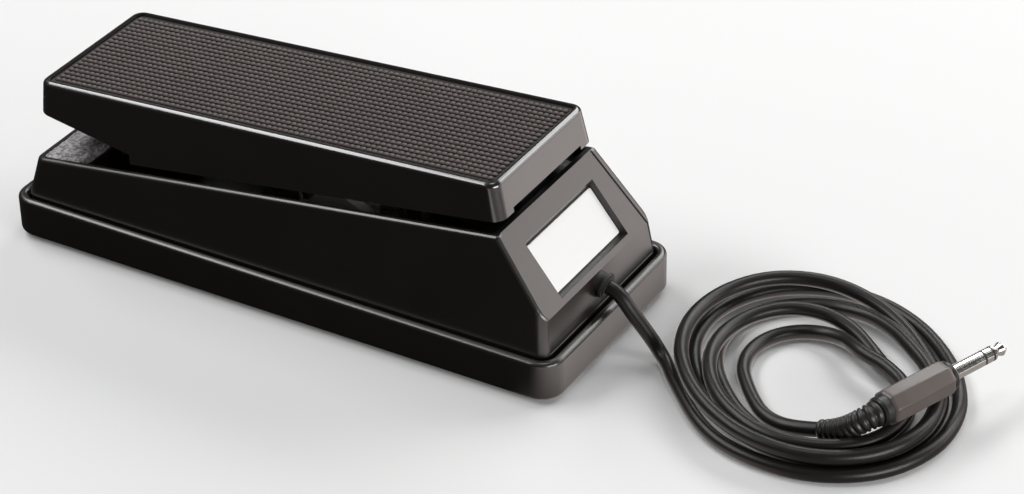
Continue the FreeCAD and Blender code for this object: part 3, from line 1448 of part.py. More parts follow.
def plug_metal():
    start = size("handle_length")
    flange_end = start + size("flange_length")
    radius = size("flange_radius")
    chamfer = size("flange_chamfer")
    flange = plug_turned("plug_flange", [(start, 0), (start, radius),
                                         (flange_end - chamfer, radius),
                                         (flange_end, radius - chamfer), (flange_end, 0)])
    shank = size("plug_radius")
    sleeve_end = flange_end + size("plug_sleeve")
    sleeve = plug_turned("plug_sleeve", [(flange_end, 0), (flange_end, shank),
                                         (sleeve_end, shank), (sleeve_end, 0)])
    gap = size("ring_insulator")
    ring_start = sleeve_end + gap
    ring_end = ring_start + size("ring_contact")
    tip_start = ring_end + gap
    band = shank - size("fit_clearance")
    bands = []
    for name, first in (("band_rear", sleeve_end), ("band_front", ring_end)):
        bands.append(plug_turned(name, [(first, 0), (first, band), (first + gap, band),
                                        (first + gap, 0)]))
    insulators = group("plug_insulators", bands)
    ring = plug_turned("plug_ring", [(ring_start, 0), (ring_start, shank), (ring_end, shank),
                                     (ring_end, 0)])
    nose = [(tip_start + along * size("tip_length"), across * shank)
            for along, across in TIP_SHAPE]
    tip = plug_turned("plug_tip", [(tip_start, 0)] + nose + [(nose[-1][0], 0)])
    return [flange, sleeve, insulators, ring, tip]


# Ribbed boot: rings along the bend from the collar down to the coil's tail
def boot_stations(count):
    frame = plug_frame()
    front = frame.multVec(Vector(-size("collar_length"), 0, 0))
    halves = biarc(TAIL_POINT, Vector(TAIL_HEADING).normalize(), front, plug_axis())
    edges = [arc_edge(*half)[0] for half in halves]
    path = Part.Wire(edges)
    stations = []
    for i in range(count + 1):
        distance = path.Length * i / count
        edge = path.OrderedEdges[0]
        if distance > edge.Length:
            distance -= edge.Length
            edge = path.OrderedEdges[1]
        parameter = edge.getParameterByLength(min(distance, edge.Length))
        stations.append((edge.valueAt(parameter), edge.tangentAt(parameter)))
    return stations, path.Length


def plug_boot():
    ribs = int(size("boot_ribs"))
    stations, length = boot_stations(4 * ribs)
    groove = size("boot_groove")
    steady = Vector(0, 0, 1)
    rings = []
    for i, (point, heading) in enumerate(stations):
        share = i / (4.0 * ribs)
        crest = size("boot_tail_radius") + share * (size("boot_front_radius")
                                                    - size("boot_tail_radius"))
        on_crest = i % 4 in (0, 1) or i == 4 * ribs
        radius = crest if on_crest else crest - groove
        across = heading.cross(steady).normalize()
        circle = Part.Circle(point, heading, radius)
        circle.XAxis = across
        rings.append(Part.Wire([circle.toShape()]))
    print("plug_boot: %d ribs over %.1f" % (ribs, length))
    return direct("plug_boot", Part.makeLoft(rings, True, True))


def build():
    parts = [
        base_tray(), upper_housing(), label_plate(), heel_foam_pad(), toe_bumper(),
        pivot_bracket(), pivot_shaft(), shaft_clips(),
    ]
    parts += list(bracket_screws())
    parts += [
        housing_screws(), rubber_feet(), treadle_shell(), tread_mat(), pivot_bushings(),
        sector_gear(), sector_screws(), pinion_gear(), pot_shaft(), pot_bracket(),
        potentiometer_body(), pot_washer(), pot_nut(), pot_terminals(), inner_leads(),
        inner_cord(), cord_grommet(), cable_clamp(), clamp_screws(), cord(), cord_coil(),
        plug_boot(), plug_collar(), plug_handle(),
    ]
    return parts + plug_metal()


def check(parts):
    doc.recompute()
    for item in doc.Objects:
        if "Invalid" in item.State or "Error" in item.State:
            raise RuntimeError("%s did not build: %s" % (item.Name, item.State))
    for item in parts:
        if item.Shape.isNull() or not item.Shape.isValid():
            raise RuntimeError("%s has no valid shape" % item.Label)
        if not item.Shape.Solids:
            raise RuntimeError("%s holds no solid" % item.Label)


def write(parts):
    os.makedirs("parts", exist_ok=True)
    for item in parts:
        box_now = item.Shape.BoundBox
        print("%-22s %3d solid(s) %10.1f mm3  x %7.1f %7.1f  y %6.1f %6.1f  z %5.1f %5.1f" % (
            item.Label, len(item.Shape.Solids), item.Shape.Volume, box_now.XMin, box_now.XMax,
            box_now.YMin, box_now.YMax, box_now.ZMin, box_now.ZMax))
        item.Shape.exportStep("parts/%s.step" % item.Label)


all_parts = build()
check(all_parts)
write(all_parts)
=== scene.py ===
# %% [markdown]
# # An expression pedal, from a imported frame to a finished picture
# The pedal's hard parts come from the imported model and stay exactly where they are. This script
# adds what a camera sees and a machinist doesn't: the line of the coiled cord, the studs of the
# tread mat, the crumb of the foam pad, and the finish of every surface.

# %% Load the frame
import bpy
import bmesh
import json
import math
from mathutils import Matrix, Vector, noise


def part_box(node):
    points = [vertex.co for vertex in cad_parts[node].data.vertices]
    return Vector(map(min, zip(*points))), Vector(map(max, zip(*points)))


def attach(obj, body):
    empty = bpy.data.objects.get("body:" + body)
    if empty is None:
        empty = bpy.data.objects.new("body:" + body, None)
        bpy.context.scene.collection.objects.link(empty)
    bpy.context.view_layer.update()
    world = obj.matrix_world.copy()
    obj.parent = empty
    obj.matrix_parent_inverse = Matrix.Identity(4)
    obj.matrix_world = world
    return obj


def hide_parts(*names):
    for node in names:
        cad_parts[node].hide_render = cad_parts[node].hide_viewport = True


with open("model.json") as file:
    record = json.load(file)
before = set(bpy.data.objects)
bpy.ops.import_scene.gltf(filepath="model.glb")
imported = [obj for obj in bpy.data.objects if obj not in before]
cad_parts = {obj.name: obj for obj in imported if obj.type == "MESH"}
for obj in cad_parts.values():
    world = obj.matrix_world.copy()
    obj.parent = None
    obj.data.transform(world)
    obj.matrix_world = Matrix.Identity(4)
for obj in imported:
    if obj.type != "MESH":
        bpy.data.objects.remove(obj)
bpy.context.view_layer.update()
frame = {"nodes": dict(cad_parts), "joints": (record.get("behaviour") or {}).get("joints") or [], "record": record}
nodes = frame["nodes"]
MM = 0.001

# %% [markdown]
# ## The camera
# A product picture like this is taken from above the toe end with a long lens, so the pedal's
# long edges stay almost parallel. The camera is placed first, because it decides which side of
# every piece gets the most care.

# %% Set the camera
IMAGE_WIDTH = 1024
FOCAL_PIXELS = 3236.7
SENSOR_WIDTH = 36.0
FARTHEST_SEEN = 20
CAMERA_PLACE = Vector((0.66389, -0.95604, 0.75579))
CAMERA_FORWARD = Vector((-0.43397, 0.71869, -0.54329))
CAMERA_RIGHT = Vector((0.86183, 0.50687, -0.01790))

camera_data = bpy.data.cameras.new("camera")
camera_data.sensor_width = SENSOR_WIDTH
camera_data.lens = SENSOR_WIDTH * FOCAL_PIXELS / IMAGE_WIDTH
camera_data.clip_end = FARTHEST_SEEN
camera = bpy.data.objects.new("camera", camera_data)
bpy.context.scene.collection.objects.link(camera)
forward = CAMERA_FORWARD.normalized()
right = (CAMERA_RIGHT - forward * CAMERA_RIGHT.dot(forward)).normalized()
up = right.cross(forward)
turned = Matrix((right, up, -forward)).transposed().to_4x4()
camera.matrix_world = Matrix.Translation(CAMERA_PLACE) @ turned
bpy.context.scene.camera = camera
print("lens: %.1f mm" % camera_data.lens)

# %% [markdown]
# ## The cord
# A thin flexible cord leaves the toe end, drops to the floor and runs into five loose turns.
# It is one curve from the grommet to the plug's boot, so that its bends stay smooth.
# The route's first points are the ones the construction uses. The turns are worked out: each
# turn has a reach from the coil's middle towards four sides, and a height counted in layers.

# %% Points of the cord's free stretch
CORD_DIAMETER = 6.2
CORD_RADIUS = CORD_DIAMETER / 2
CORD_ROUTE = [(132.0, 0.0, 28.0), (136.83, 0.0, 26.706), (142.1, 0.05, 19.75),
              (148.2, 0.2, 13.1)]
TOUCH_DOWN = [(153.2, 0.0, 7.6), (158.8, -2.6, 3.6), (163.4, -7.0, 3.1), (168.6, -13.2, 3.1)]
TO_THE_PLUG = [(203.5, -10.5, 3.1), (210.5, -17.2, 3.2), (219.0, -21.0, 3.7),
               (228.5, -21.9, 5.2), (237.2, -20.8, 7.0)]

# %% [markdown]
# ## The turns of the coil
# Cord that is let fall makes loops of unlike sizes that lie beside and over each other. A
# helix would look wound by a machine, and hand-set points for every bend are hard to change,
# so each turn gets four numbers for its reach and four for its layer. A smooth step between
# two sides gives the points in between.

# %% Points of the turns
COIL_MIDDLE = (219.0, 18.0)
LAYER = 6.8
FIRST_SIDE = -45
LEAD_IN = (-113.0, 60.5, 0)
TURNS = [
    ((68.1, 0), (52.4, 0), (64.0, 0), (47.3, 0)),
    ((60.8, 0), (44.8, 0), (59.8, 1.3), (55.2, 1.4)),
    ((65.5, 1), (37.6, 1), (50.5, 0), (39.6, 0)),
    ((52.7, 0), (26.0, 0), (39.5, 1), (45.6, 1)),
    ((57.6, 1), (18.0, 1), (31.5, 0), (30.0, 0)),
]
POINTS_PER_SIDE = 4
# Control points of a round turn lie a little outside it
SWELL = 1 / math.cos(math.pi / (4 * POINTS_PER_SIDE))


def coil_point(angle, reach, layer):
    turned = math.radians(angle)
    return (COIL_MIDDLE[0] + reach * math.cos(turned), COIL_MIDDLE[1] + reach * math.sin(turned),
            CORD_RADIUS + layer * LAYER)


def eased(first, last, slope_in, slope_out, share):
    # Smooth step between two values that leaves and arrives with the given slopes
    return ((2 * share ** 3 - 3 * share ** 2 + 1) * first
            + (share ** 3 - 2 * share ** 2 + share) * slope_in
            + (3 * share ** 2 - 2 * share ** 3) * last
            + (share ** 3 - share ** 2) * slope_out)


def coil_points():
    sides = [LEAD_IN]
    for reach, layer in [side for turn in TURNS for side in turn]:
        sides.append((FIRST_SIDE + 90 * (len(sides) - 1), reach, layer))
    points = []
    for i in range(len(sides) - 1):
        (angle, reach, layer), (next_angle, next_reach, next_layer) = sides[i:i + 2]
        before = sides[max(i - 1, 0)][1]
        after = sides[min(i + 2, len(sides) - 1)][1]
        span = (next_angle - angle) / 90
        steps = max(2, round(POINTS_PER_SIDE * span))
        for j in range(steps):
            share = j / steps
            here = eased(reach, next_reach, (next_reach - before) / 2, (after - reach) / 2 * span,
                         share)
            points.append(coil_point(angle + (next_angle - angle) * share, here * SWELL,
                                     eased(layer, next_layer, 0, 0, share)))
    angle, reach, layer = sides[-1]
    points.append(coil_point(angle, reach * SWELL, layer))
    return points


# %% [markdown]
# ## One curve for the whole cord
# A cord could be a chain of arcs or a mesh tube. A NURBS curve of order 3 bends most evenly:
# its points pull at the line without lying on it. The bevel gives it its round section.

# %% Make the cord
SPLINE_STEPS = 6
SECTION_STEPS = 5


def open_spline(name, points):
    curve = bpy.data.curves.new(name, "CURVE")
    curve.dimensions = "3D"
    spline = curve.splines.new("NURBS")
    spline.points.add(len(points) - 1)
    for control, point in zip(spline.points, points):
        control.co = (*(c * MM for c in point), 1)
    spline.order_u = 3
    spline.use_endpoint_u = True
    spline.resolution_u = SPLINE_STEPS
    return curve


cord_line = open_spline("cord_line", CORD_ROUTE + TOUCH_DOWN + coil_points() + TO_THE_PLUG)
cord_line.bevel_depth = CORD_RADIUS * MM
cord_line.bevel_resolution = SECTION_STEPS
cord_line.use_fill_caps = True
cord = bpy.data.objects.new("cord_run", cord_line)
bpy.context.scene.collection.objects.link(cord)

# %% [markdown]
# ## Small shader tools
# Four effects turn up on more than one material: the slow drift of colour in a moulding, the
# fine pebble of its skin, the smudges that hands and shoes leave, and dust on what faces up.
# Each is one node group, built once and placed wherever it is needed with other values. The
# helpers here each add one node and hand back the socket that comes out of it.

# %% Helpers that add a node
def new_group(name, inputs, output, output_kind="NodeSocketFloat"):
    group = bpy.data.node_groups.new(name, "ShaderNodeTree")
    for label, default in inputs.items():
        kind = "NodeSocketFloat" if isinstance(default, float) else "NodeSocketColor"
        socket = group.interface.new_socket(label, in_out="INPUT", socket_type=kind)
        socket.default_value = default
    group.interface.new_socket(output, in_out="OUTPUT", socket_type=output_kind)
    return group, group.nodes.new("NodeGroupInput"), group.nodes.new("NodeGroupOutput")


def math_node(tree, operation, first, second=None, clamp=False):
    node = tree.nodes.new("ShaderNodeMath")
    node.operation = operation
    node.use_clamp = clamp
    for socket, value in zip(node.inputs, (first, second)):
        if value is None:
            continue
        if isinstance(value, bpy.types.NodeSocket):
            tree.links.new(value, socket)
        else:
            socket.default_value = value
    return node.outputs[0]


def noise_node(tree, scale, detail=2.0, roughness=0.5, stretch=(1, 1, 1)):
    place = tree.nodes.new("ShaderNodeTexCoord").outputs["Object"]
    mapping = tree.nodes.new("ShaderNodeMapping")
    mapping.inputs["Scale"].default_value = stretch
    tree.links.new(place, mapping.inputs["Vector"])
    texture = tree.nodes.new("ShaderNodeTexNoise")
    texture.inputs["Detail"].default_value = detail
    texture.inputs["Roughness"].default_value = roughness
    tree.links.new(mapping.outputs[0], texture.inputs["Vector"])
    if isinstance(scale, bpy.types.NodeSocket):
        tree.links.new(scale, texture.inputs["Scale"])
    else:
        texture.inputs["Scale"].default_value = scale
    return texture.outputs[0]


def smooth_range(tree, value, first, last, lowest=0.0):
    node = tree.nodes.new("ShaderNodeMapRange")
    node.interpolation_type = "SMOOTHSTEP"
    node.inputs["From Min"].default_value = first
    node.inputs["From Max"].default_value = last
    node.inputs["To Min"].default_value = lowest
    tree.links.new(value, node.inputs["Value"])
    return node.outputs["Result"]


# %% [markdown]
# ## Colour drift
# No moulding is one even colour. A slow noise mixes two near shades, and a sharpness above 1
# parts them more, which the crumb of the foam needs.

# %% Colour drift: a slow change of value over the surface
def make_colour_drift():
    group, given, result = new_group(
        "colour_drift", {"Colour": (0.5, 0.5, 0.5, 1), "Second": (0.5, 0.5, 0.5, 1),
                         "Scale": 20.0, "Sharpness": 1.0}, "Colour", "NodeSocketColor")
    slow = noise_node(group, given.outputs["Scale"], 4.0, 0.6)
    centred = math_node(group, "SUBTRACT", slow, 0.5)
    spread = math_node(group, "MULTIPLY", centred, given.outputs["Sharpness"])
    share = math_node(group, "ADD", spread, 0.5, clamp=True)
    mix = group.nodes.new("ShaderNodeMix")
    mix.data_type = "RGBA"
    group.links.new(share, mix.inputs["Factor"])
    group.links.new(given.outputs["Colour"], mix.inputs["A"])
    group.links.new(given.outputs["Second"], mix.inputs["B"])
    group.links.new(mix.outputs["Result"], result.inputs["Colour"])
    return group


# %% [markdown]
# ## Pebble
# A mould is etched so that its skin hides marks. Round cells and a little noise of the same
# size give that skin as a height, which each material turns into a bump of its own depth.

# %% Pebble: the fine skin of a moulding, as a height
def make_pebble():
    group, given, result = new_group("pebble", {"Scale": 900.0, "Bumps": 0.5}, "Height")
    place = group.nodes.new("ShaderNodeTexCoord").outputs["Object"]
    cells = group.nodes.new("ShaderNodeTexVoronoi")
    cells.feature = "SMOOTH_F1"
    group.links.new(place, cells.inputs["Vector"])
    group.links.new(given.outputs["Scale"], cells.inputs["Scale"])
    fine = noise_node(group, given.outputs["Scale"], 2.0, 0.5)
    bumps = math_node(group, "MULTIPLY", cells.outputs["Distance"], given.outputs["Bumps"])
    group.links.new(math_node(group, "ADD", bumps, fine), result.inputs["Height"])
    return group


# %% [markdown]
# ## Smudges
# Rubbing changes how rough a surface is, hardly its colour. A broad noise gives the rubbed
# patches, and a noise drawn out along the pedal gives a few long fine scratches.

# %% Smudges: where hands and soles have rubbed, and a few long fine scratches
SMUDGE_CONTRAST = 2.4
SCRATCH_SCALE = 260.0
SCRATCH_STRETCH = (0.06, 1, 1)
SCRATCH_LEVEL = 0.69
SCRATCH_STRENGTH = 0.35


def make_smudges():
    group, given, result = new_group("smudges", {"Scale": 30.0, "Amount": 0.5}, "Mask")
    broad = noise_node(group, given.outputs["Scale"], 5.0, 0.7)
    centred = math_node(group, "SUBTRACT", broad, 0.5)
    rubbed = math_node(group, "MULTIPLY", centred, SMUDGE_CONTRAST, clamp=True)
    streaks = noise_node(group, SCRATCH_SCALE, 3.0, 0.6, stretch=SCRATCH_STRETCH)
    streaks = math_node(group, "GREATER_THAN", streaks, SCRATCH_LEVEL)
    faint = math_node(group, "MULTIPLY", streaks, SCRATCH_STRENGTH)
    both = math_node(group, "ADD", rubbed, faint, clamp=True)
    group.links.new(math_node(group, "MULTIPLY", both, given.outputs["Amount"]),
                    result.inputs["Mask"])
    return group


# %% [markdown]
# ## Dust
# Dust settles on what faces up. The upward part of the normal, raised to a power so that
# slanting faces stay clean, is broken up by a noise.

# %% Dust: a thin uneven film on faces that look up
DUST_SCALE = 60.0
DUST_FALLOFF = 3.0


def make_dust():
    group, given, result = new_group("dust", {"Amount": 0.3, "Scale": DUST_SCALE}, "Mask")
    facing = group.nodes.new("ShaderNodeNewGeometry").outputs["Normal"]
    split = group.nodes.new("ShaderNodeSeparateXYZ")
    group.links.new(facing, split.inputs[0])
    above = math_node(group, "MAXIMUM", split.outputs["Z"], 0.0)
    upward = math_node(group, "POWER", above, DUST_FALLOFF)
    patchy = noise_node(group, given.outputs["Scale"], 6.0, 0.7)
    film = math_node(group, "MULTIPLY", upward, patchy)
    group.links.new(math_node(group, "MULTIPLY", film, given.outputs["Amount"], clamp=True),
                    result.inputs["Mask"])
    return group


GROUPS = {"drift": make_colour_drift(), "pebble": make_pebble(), "smudges": make_smudges(),
          "dust": make_dust()}
print("node groups:", sorted(group.name for group in GROUPS.values()))

# %% [markdown]
# ## One recipe for every finish
# Each material is a Principled BSDF whose colour, roughness and bump come from the groups. The
# values that are the same all over, such as a sheen or a coat, are written on its own sockets.

# %% The recipe
DUST_COLOUR = (0.30, 0.28, 0.25, 1)
DUST_DULLING = 0.5


def use_group(tree, kind, **values):
    node = tree.nodes.new("ShaderNodeGroup")
    node.node_tree = GROUPS[kind]
    for label, value in values.items():
        node.inputs[label].default_value = value
    return node.outputs[0]


def finish_of(name, colour, second, roughness, drift_scale=20.0, pebble=(900.0, 0.00004),
              smudge=(30.0, 0.2), dust=0.1, contrast=1.6, sockets=None):
    material = bpy.data.materials.new(name)
    material.use_nodes = True
    tree = material.node_tree
    shader = tree.nodes["Principled BSDF"]
    for label, value in (sockets or {}).items():
        shader.inputs[label].default_value = value
    drift = use_group(tree, "drift", Colour=(*colour, 1), Second=(*second, 1),
                      Scale=drift_scale, Sharpness=contrast)
    film = use_group(tree, "dust", Amount=dust, Scale=DUST_SCALE)
    mix = tree.nodes.new("ShaderNodeMix")
    mix.data_type = "RGBA"
    mix.inputs["B"].default_value = DUST_COLOUR
    tree.links.new(film, mix.inputs["Factor"])
    tree.links.new(drift, mix.inputs["A"])
    tree.links.new(mix.outputs["Result"], shader.inputs["Base Color"])
    rubbed = use_group(tree, "smudges", Scale=smudge[0], Amount=smudge[1])
    rough = math_node(tree, "ADD", rubbed, roughness)
    dulling = math_node(tree, "MULTIPLY", film, DUST_DULLING)
    rough = math_node(tree, "ADD", rough, dulling, clamp=True)
    tree.links.new(rough, shader.inputs["Roughness"])
    bump = tree.nodes.new("ShaderNodeBump")
    bump.inputs["Distance"].default_value = pebble[1]
    bump.inputs["Strength"].default_value = 1.0
    tree.links.new(use_group(tree, "pebble", Scale=pebble[0]), bump.inputs["Height"])
    tree.links.new(bump.outputs["Normal"], shader.inputs["Normal"])
    return material


# %% [markdown]
# ## Grooves darker than the tops
# The mat's colour is darker where it lies low between the studs and full on their tops. The
# share is read from the height over the mat's own plane, which lies tilted with the treadle.

# %% Darken what lies low on the mat
treadle_joint = {joint["name"]: joint for joint in frame["joints"]}["treadle_rock"]
PIVOT = Vector(treadle_joint["pos_m"])
REST_TILT = math.radians(3.8)
TREADLE_UP = Vector((-math.sin(REST_TILT), 0, math.cos(REST_TILT)))
GROOVE_LEVEL = 0.0300
TOP_LEVEL = 0.0309
GROOVE_SHADE = 0.30


def shade_grooves(material):
    tree = material.node_tree
    shader = tree.nodes["Principled BSDF"]
    height = tree.nodes.new("ShaderNodeVectorMath")
    height.operation = "DOT_PRODUCT"
    tree.links.new(tree.nodes.new("ShaderNodeTexCoord").outputs["Object"], height.inputs[0])
    height.inputs[1].default_value = TREADLE_UP
    pivot_height = PIVOT.dot(TREADLE_UP)
    groove_to_top = smooth_range(tree, height.outputs["Value"], GROOVE_LEVEL + pivot_height,
                        TOP_LEVEL + pivot_height, GROOVE_SHADE)
    dim = tree.nodes.new("ShaderNodeVectorMath")
    dim.operation = "SCALE"
    tree.links.new(shader.inputs["Base Color"].links[0].from_socket, dim.inputs[0])
    tree.links.new(groove_to_top, dim.inputs["Scale"])
    tree.links.new(dim.outputs["Vector"], shader.inputs["Base Color"])


# %% [markdown]
# ## The finishes
# The body is a dark brown-black moulding with a satin skin, and the treadle is glossier, from
# the soles that rub it. Rubber is duller and a little lighter, and the foam is grey and
# crumbly. Two shades, a roughness and a skin tell these apart better than one colour does.

# %% Body, mat and foam
def make_finishes():
    made = {}
    made["dark_shell"] = finish_of(
        "satin_moulding", (0.0076, 0.0056, 0.0047), (0.0135, 0.0104, 0.0087), 0.32, 14.0,
        pebble=(1500.0, 0.000006), smudge=(24.0, 0.12), dust=0.03,
        sockets={"IOR": 1.6, "Coat Weight": 0.6, "Coat Roughness": 0.24})
    made["gloss_treadle"] = finish_of(
        "gloss_moulding", (0.0080, 0.0062, 0.0054), (0.0135, 0.0106, 0.0091), 0.24, 14.0,
        pebble=(1500.0, 0.000005), smudge=(24.0, 0.08), dust=0.02,
        sockets={"IOR": 1.7, "Coat Weight": 1.0, "Coat Roughness": 0.15})
    made["mat_rubber"] = finish_of(
        "tread_rubber", (0.125, 0.103, 0.098), (0.090, 0.074, 0.070), 0.55, 30.0,
        pebble=(1800.0, 0.00006), smudge=(40.0, 0.2), dust=0.1)
    shade_grooves(made["mat_rubber"])
    made["grey_foam"] = finish_of(
        "open_foam", (0.60, 0.575, 0.588), (0.26, 0.247, 0.253), 0.9, 620.0,
        pebble=(700.0, 0.0008), smudge=(60.0, 0.1), dust=0.0, contrast=6.0,
        sockets={"Specular IOR Level": 0.1})
    made["white_plate"] = finish_of(
        "blank_plate", (0.92, 0.92, 0.915), (0.89, 0.89, 0.885), 0.45, 40.0,
        pebble=(2200.0, 0.00001), smudge=(30.0, 0.15), dust=0.0)
    made["black_rubber"] = finish_of(
        "plain_rubber", (0.016, 0.015, 0.015), (0.024, 0.022, 0.022), 0.6, 40.0,
        pebble=(1400.0, 0.00003), dust=0.15)
    made["cord_jacket"] = finish_of(
        "cord_jacket", (0.007, 0.0056, 0.005), (0.012, 0.0096, 0.0088), 0.36, 60.0,
        pebble=(2400.0, 0.000006), smudge=(70.0, 0.12), dust=0.02,
        sockets={"Specular IOR Level": 0.38})
    made["boot_rubber"] = finish_of(
        "boot_rubber", (0.014, 0.0125, 0.0125), (0.022, 0.0195, 0.019), 0.36, 80.0,
        pebble=(2000.0, 0.00002), smudge=(80.0, 0.15), dust=0.08)
    made["black_plastic"] = finish_of(
        "black_moulding", (0.018, 0.017, 0.017), (0.026, 0.024, 0.024), 0.34, 60.0,
        pebble=(2000.0, 0.00001), dust=0.05)
    made["plug_plastic"] = finish_of(
        "grip_moulding", (0.098, 0.080, 0.073), (0.125, 0.104, 0.095), 0.30, 50.0,
        pebble=(2200.0, 0.000008), smudge=(60.0, 0.18), dust=0.1)
    return made


finishes = make_finishes()


# %% [markdown]
# ## Metals and hidden pieces
# Only the plug is bright metal. The pieces inside show when the treadle tips back, so they
# have their own finishes too. All metals share one short recipe and differ in colour, in
# roughness and in how much they are streaked.

# %% Metals, nylon and the hidden pieces
TARNISH = 0.9


def make_metal(name, colour, roughness, streak=0.1):
    return finish_of(name, colour, tuple(c * TARNISH for c in colour), roughness, 80.0,
                     pebble=(1600.0, 0.000004), smudge=(90.0, streak), dust=0.0,
                     sockets={"Metallic": 1.0})


finishes["plug_metal"] = make_metal("bright_nickel", (0.86, 0.85, 0.82), 0.16)
finishes["zinc_steel"] = make_metal("zinc_plate", (0.58, 0.58, 0.56), 0.38, 0.2)
finishes["bright_steel"] = make_metal("ground_steel", (0.66, 0.66, 0.65), 0.22)
finishes["brass_tags"] = make_metal("tinned_brass", (0.72, 0.60, 0.36), 0.3)
finishes["white_nylon"] = finish_of(
    "gear_nylon", (0.78, 0.77, 0.71), (0.70, 0.69, 0.63), 0.4, 50.0, pebble=(1600.0, 0.00001))
finishes["lead_jackets"] = finish_of(
    "lead_jacket", (0.30, 0.025, 0.02), (0.22, 0.02, 0.018), 0.4, 90.0,
    pebble=(2400.0, 0.00001))
print("finishes:", len(finishes))

# %% [markdown]
# ## The pieces that are kept as they are
# Each piece of the frame names a material slot. The finish goes on by that name, so a piece
# that is added to the model later gets its finish by itself.

# %% Give the carried-over nodes their finish
for part in frame["record"]["subparts"]:
    mesh = nodes[part["node"]].data
    mesh.materials.clear()
    glossy = part["node"] == "treadle_shell"
    mesh.materials.append(finishes["gloss_treadle" if glossy else part["material_slot"]])


# %% [markdown]
# ## Putting a new piece in place
# Every new piece rides on a body of the frame, takes the finish of a material slot of the
# record, and hides the nodes it stands for.

# %% A helper for new pieces
def put(piece, body, slot, *stands_for):
    if piece.name not in bpy.context.scene.collection.objects:
        bpy.context.scene.collection.objects.link(piece)
    piece.data.materials.clear()
    piece.data.materials.append(finishes[slot])
    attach(piece, body)
    if stands_for:
        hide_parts(*stands_for)
    return piece


def piece_from(name, points, faces, smooth=True):
    # The points come in millimetres
    mesh = bpy.data.meshes.new(name)
    mesh.from_pydata([Vector(p) * MM for p in points], [], faces)
    mesh.validate()
    bm = bmesh.new()
    bm.from_mesh(mesh)
    bmesh.ops.recalc_face_normals(bm, faces=bm.faces)
    bm.to_mesh(mesh)
    bm.free()
    for polygon in mesh.polygons:
        polygon.use_smooth = smooth
    return bpy.data.objects.new(name, mesh)


def bridge_rings(ring_size, ring_count, start=0):
    # Quads between rings of points, each ring closed on itself, with a face on both ends
    faces = []
    for i in range(ring_count - 1):
        for j in range(ring_size):
            k = (j + 1) % ring_size
            low = start + i * ring_size
            faces.append((low + j, low + k, low + ring_size + k, low + ring_size + j))
    faces.append(tuple(start + j for j in range(ring_size)))
    last = start + (ring_count - 1) * ring_size
    faces.append(tuple(last + j for j in reversed(range(ring_size))))
    return faces


# %% [markdown]
# ## The tread mat
# The mat is one rubber moulding: a thin sheet with rows of low studs, so that a shoe doesn't
# slide. Modelling the studs, not painting them, gives the little shadows that make the mat read
# as rubber from any side. Each row is one strip whose height dips between its studs.

# %% Measures of the mat, in the treadle's own frame
treadle_frame = Matrix.Translation(PIVOT) @ Matrix.Rotation(REST_TILT, 4, Vector((0, -1, 0)))
MAT_HEEL = -108.4
MAT_TOE = 112.7
MAT_HALF_WIDTH = 33.6
MAT_CORNER = 3.0
MAT_ARC_STEPS = 6
MAT_BOTTOM = 29.05
MAT_SHEET = 0.9
ROW_COUNT = 20
SIDE_MARGIN = 2.8
ROW_MARGIN = 1.7
ROW_WIDTH = 2.05
ROW_HEIGHT = 1.1
STUD_PITCH = 2.72
ROW_SINK = 0.02
DIP_DEPTH = 0.72

# Stations along one stud, and how high and wide the row is there
STUD_SHAPE = [(0.0, 1 - DIP_DEPTH, 0.72), (0.14, 0.78, 0.92), (0.30, 1.0, 1.0),
              (0.70, 1.0, 1.0), (0.86, 0.78, 0.92)]
ROW_PROFILE = [(-0.5, 0.0), (-0.46, 0.62), (-0.30, 1.0), (0.30, 1.0), (0.46, 0.62), (0.5, 0.0)]


# %% Build the mat
def mat_sheet():
    corners = [(MAT_TOE, MAT_HALF_WIDTH, 0), (MAT_HEEL, MAT_HALF_WIDTH, 90),
               (MAT_HEEL, -MAT_HALF_WIDTH, 180), (MAT_TOE, -MAT_HALF_WIDTH, 270)]
    outline = []
    for x, y, start in corners:
        middle = (x - math.copysign(MAT_CORNER, x), y - math.copysign(MAT_CORNER, y))
        for step in range(MAT_ARC_STEPS + 1):
            turned = math.radians(start + 90 * step / MAT_ARC_STEPS)
            outline.append((middle[0] + MAT_CORNER * math.cos(turned),
                            middle[1] + MAT_CORNER * math.sin(turned)))
    points = [(x, y, z) for z in (MAT_BOTTOM, MAT_BOTTOM + MAT_SHEET) for x, y in outline]
    return points, bridge_rings(len(outline), 2)


def stud_rows():
    length = MAT_TOE - MAT_HEEL - 2 * ROW_MARGIN
    studs = round(length / STUD_PITCH)
    pitch = length / studs
    stations = [(MAT_HEEL + ROW_MARGIN + (i + along) * pitch, height, width)
                for i in range(studs) for along, height, width in STUD_SHAPE]
    stations.append((MAT_TOE - ROW_MARGIN, *STUD_SHAPE[0][1:]))
    reach = MAT_HALF_WIDTH - SIDE_MARGIN - ROW_WIDTH / 2
    foot = MAT_BOTTOM + MAT_SHEET - ROW_SINK
    points = []
    faces = []
    for row in range(ROW_COUNT):
        across = -reach + 2 * reach * row / (ROW_COUNT - 1)
        start = len(points)
        for x, height, width in stations:
            points += [(x, across + side * ROW_WIDTH * width, foot + rise * ROW_HEIGHT * height)
                       for side, rise in ROW_PROFILE]
        faces += bridge_rings(len(ROW_PROFILE), len(stations), start)
    return points, faces, studs


sheet_points, sheet_faces = mat_sheet()
row_points, row_faces, stud_count = stud_rows()
row_faces = [tuple(i + len(sheet_points) for i in face) for face in row_faces]
mat = piece_from("studded_mat", sheet_points + row_points, sheet_faces + row_faces, smooth=False)
mat.data.transform(treadle_frame)
put(mat, "treadle", "mat_rubber", "tread_mat")
print("mat: %d rows of %d studs, %d faces" % (ROW_COUNT, stud_count, len(mat.data.polygons)))

